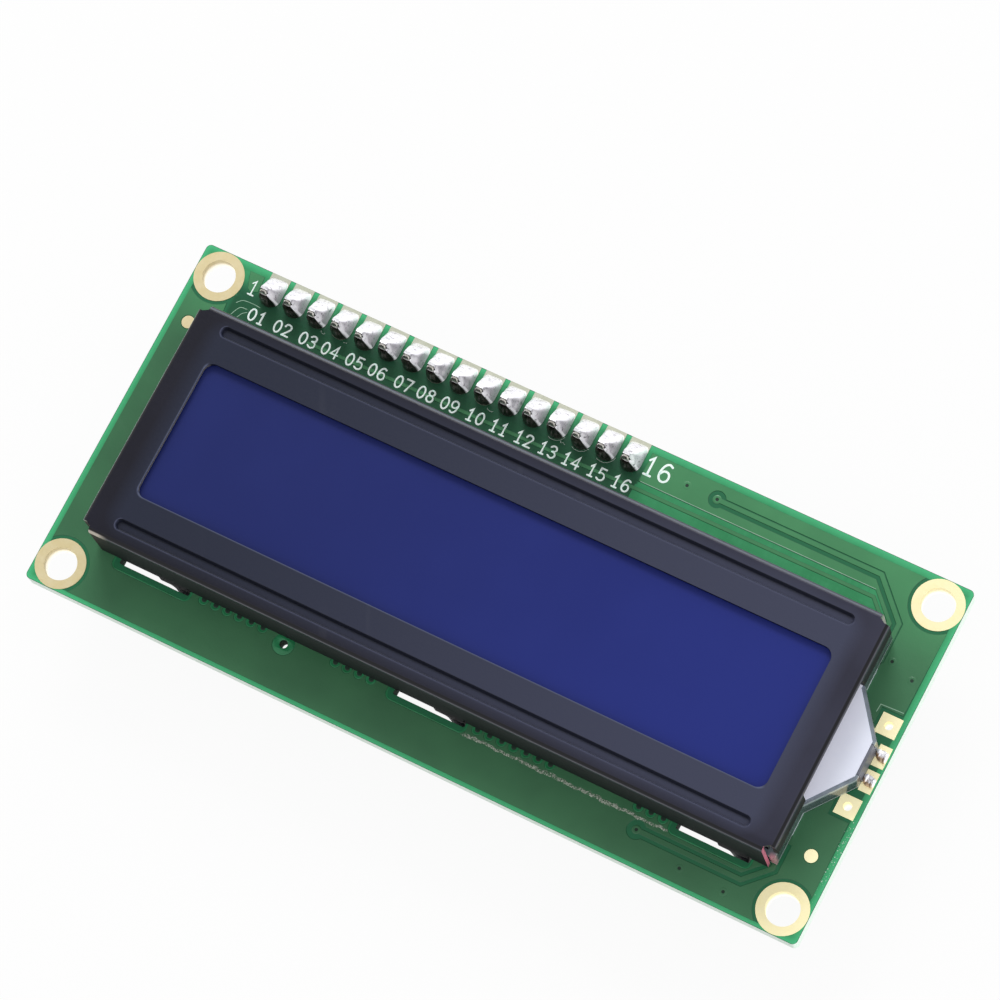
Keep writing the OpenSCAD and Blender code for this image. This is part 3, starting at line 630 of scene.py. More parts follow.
    # Painted shade: the window's cut walls are near black; the left one also shows some bare steel.
    sheared = hole * upright
    paint = g.mix(sheared, paint, (0.002, 0.002, 0.004))
    bare = g.most(cut_end, sheared * g.ramp(g.way.x, 0.5, 0.9) * 0.35)
    steel = g.mix(daub, (0.62, 0.60, 0.58), (0.72, 0.22, 0.32))
    g.set("Base Color", g.mix(bare, paint, steel))
    g.set("Metallic", bare * (0.8 - daub * 0.8))
    g.set("Roughness", g.rough(0.10, 0.30) + wall * 0.3 + marks * 0.1)
    g.bump(g.grain, 0.12, 0.00005)
    g.set("Specular IOR Level", 0.32)
    return g.material


def window_material():
    """Blue polarizing film under an anti-glare face: satin, darker blue at the left and lighter at the right,
    with faint streaks.
    """
    g = Paint("blue_film", 60.0, 9000.0)
    dust = g.dust(700.0, 0.02)
    along = g.ramp(g.at.x, -0.032, 0.032)
    left = g.mix(g.tone, (0.010, 0.018, 0.125), (0.012, 0.021, 0.138))
    right = g.mix(g.tone, (0.011, 0.021, 0.185), (0.013, 0.024, 0.200))
    blue = g.mix(along, left, right)
    g.set("Base Color", g.mix(dust * 0.2, blue, (0.2, 0.22, 0.4)))
    g.set("Roughness", g.rough(0.08, 0.30))
    g.bump(g.grain, 0.10, 0.00001)
    g.set("Specular IOR Level", 0.28)
    return g.material


def pale_film_material():
    """Matt white diffusing film with a cool tint; light comes through it from the guide."""
    g = Paint("pale_film", 300.0, 8000.0)
    g.set("Base Color", g.mix(g.tone, (0.62, 0.64, 0.76), (0.66, 0.68, 0.80)))
    # Painted glow for the light that comes through the film, stronger next to the bezel, where it lifts the
    # bezel's shade.
    g.glow(g.mix(g.ramp(g.at.x, 0.0352, 0.0375), (0.98, 0.98, 1.12), (0.82, 0.86, 0.94)), 0.26)
    g.set("Roughness", g.rough(0.1, 0.42))
    g.bump(g.grain, 0.08, 0.00001)
    return g.material


def acrylic_material():
    """Clear moulded guide: painted light makes it pale along its edges, where light gathers, and a painted
    reflection of the board makes it dim teal in the depth of its sides.
    """
    g = Paint("clear_acrylic", 700.0, 3000.0)
    side = g.fall(abs(g.way.z), 0.3, 0.6)
    top = g.mix(g.tone, (0.22, 0.26, 0.30), (0.34, 0.39, 0.44))
    depth = g.mix(g.tone, (0.055, 0.080, 0.085), (0.110, 0.140, 0.150))
    # Painted light along the side faces' top and bottom edges, and a dim teal painted reflection of the board
    # between them.
    edge = g.most(g.fall(g.at.z, 0.0003, 0.0005), g.ramp(g.at.z, 0.0020, 0.0024))
    body = g.mix(side, top, g.mix(edge, depth, (0.46, 0.54, 0.56)))
    daub = g.ramp(g.at.x, 0.0346, 0.0349) * g.fall(g.at.y, -0.0121, -0.0116)
    g.set("Base Color", g.mix(daub, body, (0.80, 0.42, 0.48)))
    g.set("Roughness", g.rough(0.12, 0.08))
    g.bump(g.grain, 0.08, 0.00002)
    g.set("Transmission Weight", 0.15)
    g.set("IOR", 1.49)
    return g.material


def clear_material(name, tint, grain_scale, rough):
    """Clear plastic or glass: full transmission with a faint tint and a lightly uneven surface."""
    g = Paint(name, 400.0, grain_scale)
    g.set("Base Color", g.mix(g.tone, tint, tuple(min(1.0, c * 1.05) for c in tint)))
    g.set("Roughness", g.rough(rough, rough))
    g.bump(g.grain, 0.05, 0.00002)
    g.set("Transmission Weight", 1.0)
    g.set("IOR", 1.49)
    return g.material


def joint_material(name, front_shade_dark, front_shade_light):
    """Hand-made solder: bright and slightly frosted on the side towards the board's edge, with small pits;
    painted shade, a dark reflection of the bezel in the two tones given, on the front that faces it; grey painted
    shade on the steep flanks."""
    g = Paint(name, 1500.0, 6000.0)
    towards = g.way.y + g.way.x * 0.45
    front = g.fall(towards, -0.30, -0.04)
    pits = g.ramp(g.noise(g.where, 2600.0, 3.0), 0.55, 0.70)
    bright = g.mix(g.tone, (0.78, 0.77, 0.82), (0.92, 0.92, 0.94))
    bright = g.mix(pits * 0.75, bright, (0.36, 0.34, 0.38))
    # Painted shade: a grey band on the steep flanks that face right.
    flank = g.ramp(g.way.x, 0.93, 0.99)
    bright = g.mix(flank * 0.6, bright, (0.40, 0.37, 0.46))
    # Painted shade on the front that faces the bezel, a dark reflection of it, in the two tones given.
    front_shade = g.mix(g.tone, front_shade_dark, front_shade_light)
    g.set("Base Color", g.mix(front, bright, front_shade))
    # Painted glow, strongest on the side facing right, and none on the front, the flanks or the pits.
    glow = g.mix(g.ramp(g.way.x, 0.1, 0.6), (0.09, 0.09, 0.10), (0.44, 0.43, 0.46))
    glow = g.mix(g.most(front, flank * 0.7), glow, (0.0, 0.0, 0.0))
    g.glow(g.mix(pits * 0.8, glow, (0.0, 0.0, 0.0)), 1.0)
    g.set("Metallic", 0.45 + front * 0.3)
    g.set("Roughness", g.rough(0.20, 0.20))
    g.bump(g.tone + pits * 0.4, 0.35, 0.00005)
    return g.material


def metal_material(name, dark, light, rough, lumps, depth):
    """Bright tinned metal or solder: two tones of grey, uneven sheen and a slightly lumpy surface."""
    g = Paint(name, lumps, 9000.0)
    g.set("Base Color", g.mix(g.tone, dark, light))
    g.set("Metallic", 1.0)
    g.set("Roughness", g.rough(0.16, rough))
    g.bump(g.tone + g.grain * 0.3, 0.4, depth)
    return g.material


def moulded_material(name, dark, light, rough, grain_scale, depth):
    """Moulded plastic, rubber or resin: near-even colour, fine grain and a little dust."""
    g = Paint(name, 350.0, grain_scale)
    dust = g.dust(1300.0, 0.05)
    colour = g.mix(g.tone, dark, light)
    g.set("Base Color", g.mix(dust * 0.4, colour, (0.4, 0.4, 0.4)))
    g.set("Roughness", g.rough(0.18, rough))
    g.bump(g.grain, 0.3, depth)
    return g.material


def chip_material(name, dark, light, pitch, first):
    """Chip part: coated or ceramic body, tinned at both ends, which repeat at the pitch of the row."""
    g = Paint(name, 900.0, 8000.0)
    turns = g.math("DIVIDE", g.at.x - (first - pitch / 2), pitch)
    place = (g.math("FRACT", turns) - 0.5) * pitch
    end = g.ramp(abs(place), 0.00063, 0.00066)
    g.set("Base Color", g.mix(end, g.mix(g.tone, dark, light), (0.76, 0.76, 0.78)))
    g.set("Metallic", end)
    g.set("Roughness", g.rough(0.2, 0.28))
    g.bump(g.grain, 0.25, 0.00003)
    return g.material


def ink_material():
    """White printed ink: matt, slightly green where it is thin."""
    g = Paint("white_ink", 2600.0, 9000.0)
    g.set("Base Color", g.mix(g.tone, (0.82, 0.95, 0.90), (0.93, 0.98, 0.96)))
    # Painted glow that brightens the ink.
    g.glow((0.78, 0.92, 0.90, 1.0), 0.16)
    g.set("Roughness", g.rough(0.2, 0.5))
    g.bump(g.grain, 0.3, 0.00001)
    return g.material


def flux_material():
    """Dried flux: a thin frosty skin, uneven in strength."""
    g = Paint("dried_flux", 1500.0, 7000.0)
    flakes = g.ramp(g.grain, 0.35, 0.65)
    g.set("Base Color", g.mix(flakes, (0.34, 0.42, 0.32), (0.62, 0.67, 0.58)))
    g.set("Roughness", flakes * 0.3 + 0.4)
    g.set("Alpha", g.ramp(g.tone * 0.5 + flakes, 0.1, 1.4, 0.15, 0.75))
    g.bump(g.grain, 0.5, 0.00004)
    return g.material


MASK_LAMINATE = board_mask_material()
MASK_COPPER = copper_mask_material()
MASK_PALE = pale_mask_material()
MASK_DEEP = moulded_material("mask_in_clearings", (0.012, 0.175, 0.060), (0.022, 0.250, 0.095),
                             0.25, 5200.0, 0.00002)
# Painted highlight: pale lines where the mask over a copper edge catches the light.
RIDGE = moulded_material("mask_ridge_light", (0.30, 0.52, 0.38), (0.42, 0.64, 0.48), 0.35, 5200.0, 0.00002)
# Painted shade: the dark middle of a via stands for its hole.
PIT = moulded_material("via_pit", (0.004, 0.022, 0.012), (0.007, 0.032, 0.018), 0.3, 6000.0, 0.00002)
CRUMBS = moulded_material("laminate_crumbs", (0.62, 0.74, 0.66), (0.82, 0.88, 0.82), 0.7, 6000.0, 0.00003)
GOLD = gold_material("gold_plating", 0.5, (0.74, 0.625, 0.35), (0.95, 0.86, 0.50), 0.9)
PAD_GOLD = gold_material("pad_gold", 0.4, (0.78, 0.66, 0.38), (1.0, 0.92, 0.56), 1.9)
TINNED_GOLD = gold_material("tinned_gold", 0.2, (0.50, 0.52, 0.41), (0.58, 0.59, 0.47), 0.0)
BEZEL_PAINT = bezel_material()
WINDOW = window_material()
PALE_FILM = pale_film_material()
ACRYLIC = acrylic_material()
GLASS = clear_material("cell_glass", (0.92, 0.97, 0.95), 2000.0, 0.01)
# The last two colours of each joint are the painted shade on its front.
JOINT = joint_material("header_joint_solder", (0.026, 0.020, 0.018), (0.120, 0.082, 0.078))
LAMP_JOINT = joint_material("lamp_joint_solder", (0.34, 0.20, 0.10), (0.80, 0.60, 0.42))
SOLDER = metal_material("tin_solder", (0.74, 0.73, 0.76), (0.96, 0.96, 0.97), 0.16, 900.0, 0.00004)
TINNED = metal_material("tinned_pins", (0.68, 0.66, 0.60), (0.86, 0.84, 0.78), 0.22, 900.0, 0.00002)
BLACK_PLASTIC = moulded_material("black_plastic", (0.012, 0.012, 0.013), (0.020, 0.020, 0.021),
                                 0.42, 6000.0, 0.00005)
BLACK_RESIN = moulded_material("black_resin", (0.007, 0.007, 0.008), (0.013, 0.013, 0.014), 0.16, 1500.0, 0.00006)
SEAL = moulded_material("seal_resin", (0.66, 0.64, 0.55), (0.74, 0.72, 0.63), 0.4, 5000.0, 0.00002)
RUBBER = moulded_material("strip_rubber", (0.16, 0.16, 0.17), (0.26, 0.26, 0.27), 0.6, 7000.0, 0.00004)
LAMP = moulded_material("lamp_body", (0.07, 0.07, 0.09), (0.20, 0.21, 0.25), 0.35, 4000.0, 0.00003)
RESISTOR = chip_material("chip_resistor", (0.012, 0.012, 0.014), (0.022, 0.022, 0.025), 0.0034, 0.008)
CAPACITOR = chip_material("chip_capacitor", (0.30, 0.20, 0.11), (0.42, 0.30, 0.18), 0.0034, -0.0085)
INK = ink_material()
FLUX = flux_material()


NODES = {
    "circuit_board": MASK_LAMINATE, "mounting_hole_plating": GOLD, "header_pads": TINNED_GOLD,
    "spare_lamp_pads": PAD_GOLD, "lead_pads": PAD_GOLD, "alignment_marks": PAD_GOLD, "bezel": BEZEL_PAINT,
    "front_polarizer": WINDOW, "front_glass": GLASS, "cell_seal": SEAL, "rear_glass": GLASS,
    "rear_polarizer": WINDOW, "diffusing_film": PALE_FILM, "light_guide": ACRYLIC,
    "reflecting_film": PALE_FILM, "contact_strip_upper": RUBBER, "contact_strip_lower": RUBBER,
    "backlight_lamp": LAMP, "lamp_leads": TINNED, "lead_solder": SOLDER, "header_bar": BLACK_PLASTIC,
    "header_solder": SOLDER, "controller_cover": BLACK_RESIN, "driver_cover": BLACK_RESIN,
}
NODES.update({f"header_pin_{n:02d}": TINNED for n in range(1, PIN_COUNT + 1)})
NODES.update({f"chip_resistor_{n}": RESISTOR for n in range(1, 7)})
NODES.update({f"chip_capacitor_{n}": CAPACITOR for n in range(1, 3)})
for name, material in NODES.items():
    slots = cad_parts[name].data.materials
    slots.clear()
    slots.append(material)


# Copper areas, tracks and vias, under the mask

def from_corner(x, y):
    """Board point given from the left end and the header edge."""
    return (x - BOARD_X, BOARD_Y - y)


def route(*points):
    """Several points given from the left end and the header edge."""
    return np.array([from_corner(x, y) for x, y in points])


# Gaps from the board's edges to the copper, radii and half widths of its clearings, and heights of the layers
GAP_LEFT, GAP_RIGHT, GAP_TOP, GAP_BOTTOM = 0.56, 0.62, 0.69, 0.42
PAD_CLEAR, RING_CLEAR, LOCATING_CLEAR, CHANNEL_HALF = 1.27, RING_R + 0.34, 1.1, 0.62
FILM, PATCH = 0.036, 0.006

# Places of the lower slots, the locating hole and the alignment dots, then the copper's lines on the board
SLOT_X, SLOT_Y = (-28.8, 0.2, 29.2), -12.5
LOCATING = (-14.85, -13.3)
MARKS = ((-38.0, 10.3), (37.6, -10.1))
TRACK_A = route((54.9, 2.12), (71.62, 2.12), (75.1, 5.6), (75.1, 9.5))
TRACK_B = route((62.4, 32.72), (72.9, 32.72), (75.0, 30.62), (75.0, 28.0))
HEADER_TRACK = route(
    (13.4, 4.75), (20.0, 4.6), (41.4, 4.45), (46.8, 4.36), (71.9, 4.3), (73.5, 5.9), (73.5, 8.2),
)
VIAS_FRONT = route(
    (51.8, 2.1), (54.9, 2.12), (76.1, 9.0), (78.5, 9.85), (62.4, 32.72), (67.5, 34.2), (72.0, 34.4),
)
LAMP_NOTCH = route((79.25, 24.0), (77.15, 24.0), (77.15, 13.1), (79.25, 13.1))
LABEL_RIGHT = 7.55
UNDER_LABELS = np.array([
    (LABEL_RIGHT, 14.42), (31.75, 14.42), (34.0, 12.17), (34.0, 9.0), (-35.5, 9.0), (-35.5, 12.7),
])
BESIDE_PIN_1 = route((5.0, 0.78), (6.52, 0.76), (6.6, 2.3), (5.95, 2.6), (5.55, 2.3), (5.25, 1.5))
TENTED_X = np.concatenate([16.4 + 1.25 * np.arange(6), 30.3 + 1.25 * np.arange(4),
                           45.1 + 1.25 * np.arange(7), 61.6 + 1.25 * np.arange(3)]) - BOARD_X
TENTED_Y = -12.78


def ring_arc(sx, sy, gap_x, gap_y):
    """Arc of the clearing round one corner hole, on the copper's side of it, from the copper's end side
    to its long side."""
    dx, dy = BOARD_X - gap_x - HOLE_X, BOARD_Y - gap_y - HOLE_Y
    first = -math.acos(dx / RING_CLEAR)
    last = -math.pi - math.asin(dy / RING_CLEAR)
    return circle(HOLE_X, HOLE_Y, RING_CLEAR, 28, first, last - first) * (sx, sy)


def pour_outline(notch, labels=None):
    """Outline of a copper area, anticlockwise: the board's edge drawn in, and cut round the corner holes. Along
    the header it is scalloped round the pads, or follows the labels' own line where one is given. The notch is
    in the right side, from low to high."""
    low_left = ring_arc(-1, -1, GAP_LEFT, GAP_BOTTOM)
    low_right = ring_arc(1, -1, GAP_RIGHT, GAP_BOTTOM)[::-1]
    high_right = ring_arc(1, 1, GAP_RIGHT, GAP_TOP)
    high_left = ring_arc(-1, 1, GAP_LEFT, GAP_TOP)[::-1]
    top = BOARD_Y - GAP_TOP
    if labels is not None:
        header = np.concatenate([[(LABEL_RIGHT, top)], labels])
        last = labels[-1]
        high_left = high_left[(high_left[:, 1] < last[1] + 0.9) & (high_left[:, 0] < last[0] - 0.05)
                              & (high_left[:, 1] < HOLE_Y)]
    else:
        scallops = [circle(x, PIN_Y + 0.25, PAD_CLEAR, 14, -0.03, -math.pi + 0.06) for x in PIN_X[::-1]]
        header = np.concatenate([[(PIN_X[-1] + PAD_CLEAR, top)], *scallops, [(PIN_X[0] - PAD_CLEAR, top)]])
    return np.concatenate([low_left, low_right, notch, high_right, header, high_left])


def at_slots(outline):
    """Copies of an outline at the six tab slots; the upper three are the lower three turned half round."""
    low = [outline + (x, SLOT_Y) for x in SLOT_X]
    return low + [loop * (-1, -1) + (0, 2 * CELL_Y) for loop in low]


SLOT_CLEARINGS = at_slots(rounded(-4.4, -1.3, 4.0, 1.3, 0.7))


def build_front_copper():
    """The copper area with its clearings, and the tracks that run in them."""
    heap = Heap()
    holes = SLOT_CLEARINGS[:3] + [circle(*LOCATING, LOCATING_CLEAR, 28)]
    holes += [channel(TRACK_A, 0.35, CHANNEL_HALF, 0.86), channel(TRACK_B, CHANNEL_HALF, CHANNEL_HALF, 0.95)]
    holes += [circle(x, y, 0.72, 24) for x, y in MARKS]
    holes += [circle(x, TENTED_Y, 0.54, 20) for x in TENTED_X]
    plate(pour_outline(LAMP_NOTCH, UNDER_LABELS), holes, 0.0, FILM, 0.05, heap)
    plate(BESIDE_PIN_1, [], 0.0, FILM, 0.05, heap)
    for path, half_width in ((TRACK_A, 0.26), (TRACK_B, 0.26), (HEADER_TRACK, 0.2)):
        heap.add(*stroke(path, half_width, 0.0, FILM, 1.4))
    heap.piece("copper_areas_front", MASK_COPPER, sharp=20)


def border_outlines():
    """Outlines of the border's parts, none with a hole: four corner pieces outside the plated rings, the lower,
    left and right strips, and the header zone down to the labels. Next to a hole each follows its ring."""
    r, x1, y1 = RING_R - 0.05, BOARD_X - 0.05, BOARD_Y - 0.05
    corner = np.concatenate([[(x1, HOLE_Y)], circle(x1 - 0.4, y1 - 0.4, 0.4, 6, 0, math.pi / 2), [(HOLE_X, y1)],
                             circle(HOLE_X, HOLE_Y, r, 20, math.pi / 2, -math.pi / 2)])
    parts = [corner * (sx, sy) for sx in (-1, 1) for sy in (-1, 1)]
    turn = math.acos((BOARD_Y - GAP_BOTTOM - HOLE_Y) / r)
    bottom = np.concatenate([[(HOLE_X, y1)], circle(HOLE_X, HOLE_Y, r, 8, math.pi / 2, turn)])
    parts.append(np.concatenate([bottom * (1, -1), bottom[::-1] * (-1, -1)]))
    for sx, gap in ((-1, GAP_LEFT), (1, GAP_RIGHT)):
        turn = math.acos((BOARD_X - gap - HOLE_X) / r)
        half = np.concatenate([[(x1, HOLE_Y)], circle(HOLE_X, HOLE_Y, r, 8, 0, -turn)])
        parts.append(np.concatenate([half, half[::-1] * (1, -1)]) * (sx, 1))
    fade = 14.5
    left_arc = circle(-HOLE_X, HOLE_Y, r, 24, math.pi / 2, math.asin((fade - HOLE_Y) / r) - math.pi / 2)
    turn = math.acos((BOARD_Y - GAP_TOP - HOLE_Y) / r)
    right_arc = circle(HOLE_X, HOLE_Y, r, 8, math.pi / 2 + turn, -turn)
    label_end = [(LABEL_RIGHT, fade), (LABEL_RIGHT, BOARD_Y - GAP_TOP)]
    parts.append(np.concatenate([[(-HOLE_X, y1)], left_arc, label_end, right_arc, [(HOLE_X, y1)]]))
    return parts


def build_pale_mask_front():
    """Mask over bare laminate where light comes through: the board's border, the header row and a strip."""
    heap = Heap()
    for outline in border_outlines():
        plate(outline, [], 0.0, PATCH, 0.004, heap)
    plate(route((47.4, 3.66), (71.8, 3.66), (73.9, 5.8), (47.4, 5.8)), [], 0.0, PATCH, 0.004, heap)
    heap.piece("pale_mask_front", MASK_PALE, sharp=20)


def build_tented_vias():
    """Row of mask-filled vias half hidden by the bezel: each is a shallow dish with a dark middle."""
    dishes, pits = Heap(), Heap()
    dish = np.array([(0.52, -0.004), (0.48, 0.020), (0.40, 0.026), (0.32, 0.010), (0.26, 0.004)])
    pit = np.array([(0.29, -0.004), (0.27, 0.006), (0.12, 0.007), (0.03, 0.006)])
    for x in TENTED_X:
        dishes.add(*dome(x, TENTED_Y, dish))
        # Dark middles: painted shade of the via holes.
        pits.add(*dome(x + 0.04, TENTED_Y + 0.06, pit))
    plate(circle(*LOCATING, 1.04, 32), [circle(*LOCATING, 0.43, 24)], 0.0, 0.02, 0.03, dishes)
    for outline, x in zip(SLOT_CLEARINGS, SLOT_X):
        hole = rounded(x - 4.22, SLOT_Y - 1.12, x + 3.82, SLOT_Y + 1.12, 0.55)
        plate(outline, [hole], 0.0, 0.012, 0.02, dishes)
    dishes.piece("tented_vias", MASK_DEEP)
    pits.piece("tented_via_pits", PIT)


def build_ridges():
    """Fine pale lines where the mask runs over a copper edge and catches the light."""
    heap = Heap()
    heap.add(*stroke(route((47.75, 3.555), (60.0, 3.565), (71.75, 3.555)), 0.032, FILM - 0.01, FILM + 0.004))
    for points in (
        [(5.23, 4.08), (5.71, 3.64), (6.64, 3.54), (7.53, 3.59)],
        [(5.32, 5.29), (5.56, 4.74), (5.87, 4.32), (6.49, 4.26)],
        [(5.98, 5.31), (6.25, 4.81), (6.63, 4.52)],
    ):
        heap.add(*stroke(curve_through(route(*points)), 0.03, 0.0, 0.016))
    heap.add(*stroke(route((76.9, 13.7), (76.95, 12.95), (79.15, 12.85)), 0.035, FILM - 0.01, FILM + 0.004))
    heap.piece("mask_ridges", RIDGE)


def build_vias(name, places, side):
    """Mask-covered vias: a low ring of mask with a dark pit in its middle. Side is 1 in front, -1 on the rear."""
    rings, pits = Heap(), Heap()
    base = FILM if side > 0 else -BOARD_THK - FILM
    ring = np.array([(0.42, -0.010), (0.38, 0.005), (0.30, 0.011), (0.21, 0.010), (0.15, 0.003), (0.11, 0.0)])
    pit = np.array([(0.165, -0.004), (0.16, 0.009), (0.10, 0.006), (0.03, 0.005)])
    for x, y in places:
        rings.add(*dome(x, y, ring * (1, side) + (0, base)))
        # Dark middles: painted shade of the via holes.
        pits.add(*dome(x, y, pit * (1, side) + (0, base)))
    rings.piece(name, MASK_COPPER)
    pits.piece(name.replace("vias", "via_pits"), PIT)


# Plain numbers in white ink

SIX = [(0.53, 0.92), (0.34, 1.0), (0.14, 0.86), (0.03, 0.52), (0.05, 0.2), (0.2, 0.02), (0.4, 0.01), (0.56, 0.16),
       (0.56, 0.42), (0.42, 0.57), (0.2, 0.55), (0.05, 0.36)]
DIGITS = {
    "0": [oval(0.3, 0.5, 0.28, 0.5)],
    "1": [np.array([(0.12, 0.8), (0.31, 1.0), (0.31, 0.0)]), np.array([(0.12, 0.0), (0.5, 0.0)])],
    "2": [curve_through([(0.03, 0.76), (0.12, 0.95), (0.32, 1.0), (0.52, 0.9), (0.56, 0.7), (0.44, 0.48),
                         (0.03, 0.0)]),
          np.array([(0.03, 0.0), (0.58, 0.0)])],
    "3": [curve_through([(0.04, 0.86), (0.16, 0.98), (0.36, 1.0), (0.52, 0.86), (0.5, 0.64), (0.24, 0.53)]),
          curve_through([(0.24, 0.53), (0.5, 0.46), (0.58, 0.25), (0.46, 0.05), (0.24, 0.0), (0.03, 0.12)])],
    "4": [np.array([(0.44, 0.0), (0.44, 1.0), (0.0, 0.3), (0.6, 0.3)])],
    "5": [np.array([(0.54, 1.0), (0.1, 1.0), (0.07, 0.56)]),
          curve_through([(0.07, 0.56), (0.28, 0.63), (0.5, 0.54), (0.58, 0.3), (0.48, 0.07), (0.24, 0.0),
                         (0.02, 0.1)])],
    "6": [curve_through(SIX)],
    "7": [np.array([(0.02, 1.0), (0.58, 1.0), (0.24, 0.0)])],
    "8": [oval(0.3, 0.77, 0.23, 0.23), oval(0.3, 0.27, 0.28, 0.27)],
    "9": [curve_through([(0.6 - x, 1.0 - y) for x, y in SIX])],
}


def write_number(text, x, y, height, half_width, z0, z1, heap, flip=1):
    """Adds a number with its middle at x, y; flip is -1 on the rear, where it reads from behind."""
    pitch = 0.86
    width = pitch * (len(text) - 1) + 0.6
    for i, letter in enumerate(text):
        for line in DIGITS[letter]:
            place = (line + (i * pitch - width / 2, -0.5)) * height * (flip, 1) + (x, y)
            heap.add(*stroke(place, half_width, z0, z1, 0.6))


def build_front_numbers():
    """Two figures under each header pin, and larger ones at the row's two ends."""
    heap = Heap()
    high = FILM + 0.016
    row_x = [7.7, 10.45, 13.2, 15.6, 18.2, 20.6, 23.4, 25.8, 28.3, 31.0, 33.5, 36.1, 38.6, 41.05, 43.7, 46.2]
    for n, x in enumerate(row_x, 1):
        write_number(f"{n:02d}", *from_corner(x, 4.5), 1.15, 0.092, 0.0, high, heap)
    write_number("1", *from_corner(6.05, 2.15), 1.4, 0.085, 0.0, high, heap)
    write_number("16", *from_corner(48.7, 1.9), 1.75, 0.11, FILM - 0.004, high, heap)
    heap.piece("numbers_front", INK)


# Solder on the header pins

def build_solder_joints():
    """One joint per pin, on a grid of a turn angle a and a rise s. The foot covers the pad: a circle towards the
    bezel, and towards the board's edge a superellipse of power 6. Each way up is a quadratic Bezier curve
    from the foot to a square ring round the pin; its middle point lies close above the foot in front, so the
    front is steep, and near the straight line at the back, so that side is a ramp. Two more rings carry the
    solder over the back half of the pin's tip."""
    heap = Heap()
    a = np.linspace(0, 2 * math.pi, 64, endpoint=False)
    c, u = np.cos(a), np.sin(a)
    s = np.linspace(0, 1, 15)[:, None]
    square = 1 / (np.abs(c) ** 8 + np.abs(u) ** 8) ** 0.125
    nearness = np.interp(u, [-1, -0.35, -0.1, 0.3, 1], [0.04, 0.05, 0.24, 0.36, 0.45])
    height = np.interp(u, [-1, 0, 1], [0.74, 0.60, 0.54])
    for pin_x in PIN_X:
        wide, long = 1.0 + rng.uniform(-0.015, 0.015), 1.92 + rng.uniform(-0.07, 0.05)
        back = 1 / ((np.abs(c) / wide) ** 6 + (np.abs(u) / long) ** 6) ** (1 / 6)
        reach = np.where(u > 0, back, wide)
        foot_x, foot_y = reach * c, 0.25 + reach * u + 0.10 * c * np.clip(u, 0, 1)
        high_front = 2.15 + rng.uniform(-0.15, 0.15)
        high_back = 2.84 + rng.uniform(-0.05, 0.03)
        ring_x, ring_y = 0.385 * square * c, 0.385 * square * u
        ring_z = np.interp(u, [-1, -0.3, 0.5, 1], [high_front, high_front + 0.1, high_back, high_back])
        mid_x = foot_x + (ring_x - foot_x) * nearness
        mid_y = foot_y + (ring_y - foot_y) * nearness
        mid_z = COPPER + (ring_z - COPPER) * (height + rng.uniform(-0.03, 0.03))
        first, second, third = (1 - s) ** 2, 2 * s * (1 - s), s ** 2
        wave = sum(rng.normal(0, 0.014) * np.cos(k * a + rng.uniform(0, 6.28)) for k in (2, 3, 5))[None]
        wave = wave * np.sin(math.pi * s) + rng.normal(0, 0.012) * np.sin(3 * math.pi * s)
        x = (first * foot_x + second * mid_x + third * ring_x) * (1 + wave)
        y = (first * foot_y + second * mid_y + third * ring_y) * (1 + wave)
        z = first * COPPER + second * mid_z + third * ring_z
        over = u > -0.2
        lip = [ring_x * 0.9, np.where(over, ring_y * 0.75, ring_y * 0.93), np.where(over, 2.955, ring_z + 0.03)]
        inner = [ring_x * 0.8, np.where(over, 0.0, -0.2), np.where(over, 2.965, ring_z - 0.05)]
        x, y, z = (np.concatenate([grid, [extra], [last]]) for grid, extra, last in zip((x, y, z), lip, inner))
        heap.add(*tube(np.stack([pin_x + x, PIN_Y + y, z], -1)))
    heap.piece("solder_joints", JOINT, sharp=50, slot="solder", replaces=("header_solder",))


def lump(x, y, z, rx, ry, rz, heap, rough, rows, steps):
    """Uneven ball: a sphere on a grid of two angles, its radius waved by a few slow cosines."""
    v = np.linspace(0.02, math.pi - 0.02, rows)[:, None]
    u = np.linspace(0, 2 * math.pi, steps, endpoint=False)[None]
    waves = np.cos(2 * u + rng.uniform(0, 6)) * np.sin(v) + 0.6 * np.cos(3 * u + 2 * v + rng.uniform(0, 6))
    r = 1 + rough * waves
    heap.add(*tube(np.stack([x + rx * r * np.sin(v) * np.cos(u), y + ry * r * np.sin(v) * np.sin(u),
                             z + rz * r * np.cos(v) * np.ones_like(u)], -1)))


def build_lamp_solder():
    """Three lumps of solder over each of the lamp's two leads."""
    heap = Heap()
    for y in (0.72, -1.82):
        lump(39.20, y + 0.05, 0.10, 0.58, 0.56, 0.26, heap, 0.04, 15, 32)
        lump(38.84, y + 0.16, 0.24, 0.26, 0.44, 0.24, heap, 0.06, 13, 24)
        lump(39.55, y - 0.02, 0.18, 0.26, 0.52, 0.22, heap, 0.06, 13, 24)
    heap.piece("lamp_lead_solder", LAMP_JOINT, slot="solder", replaces=("lead_solder",))


# Flux, chips and marks left by the making

def smear(path, half_widths, z0, height, columns=7):
    """Low rounded ribbon: across it the height is a parabola, and its half width changes along the path."""
    step = np.gradient(path, axis=0)
    step /= np.linalg.norm(step, axis=1)[:, None]
    normal = np.stack([-step[:, 1], step[:, 0]], -1)
    t = np.linspace(-1, 1, columns)
    xy = path[:, None] + normal[:, None] * (t[None, :, None] * np.asarray(half_widths)[:, None, None])
    z = z0 + np.asarray(height)[:, None] * (1 - t[None] ** 2)
    top = np.concatenate([xy, z[..., None]], -1)
    under = top[:, ::-1].copy()[:, 1:-1]
    under[..., 2] = z0 - 0.002
    return tube(np.concatenate([top, under], 1))


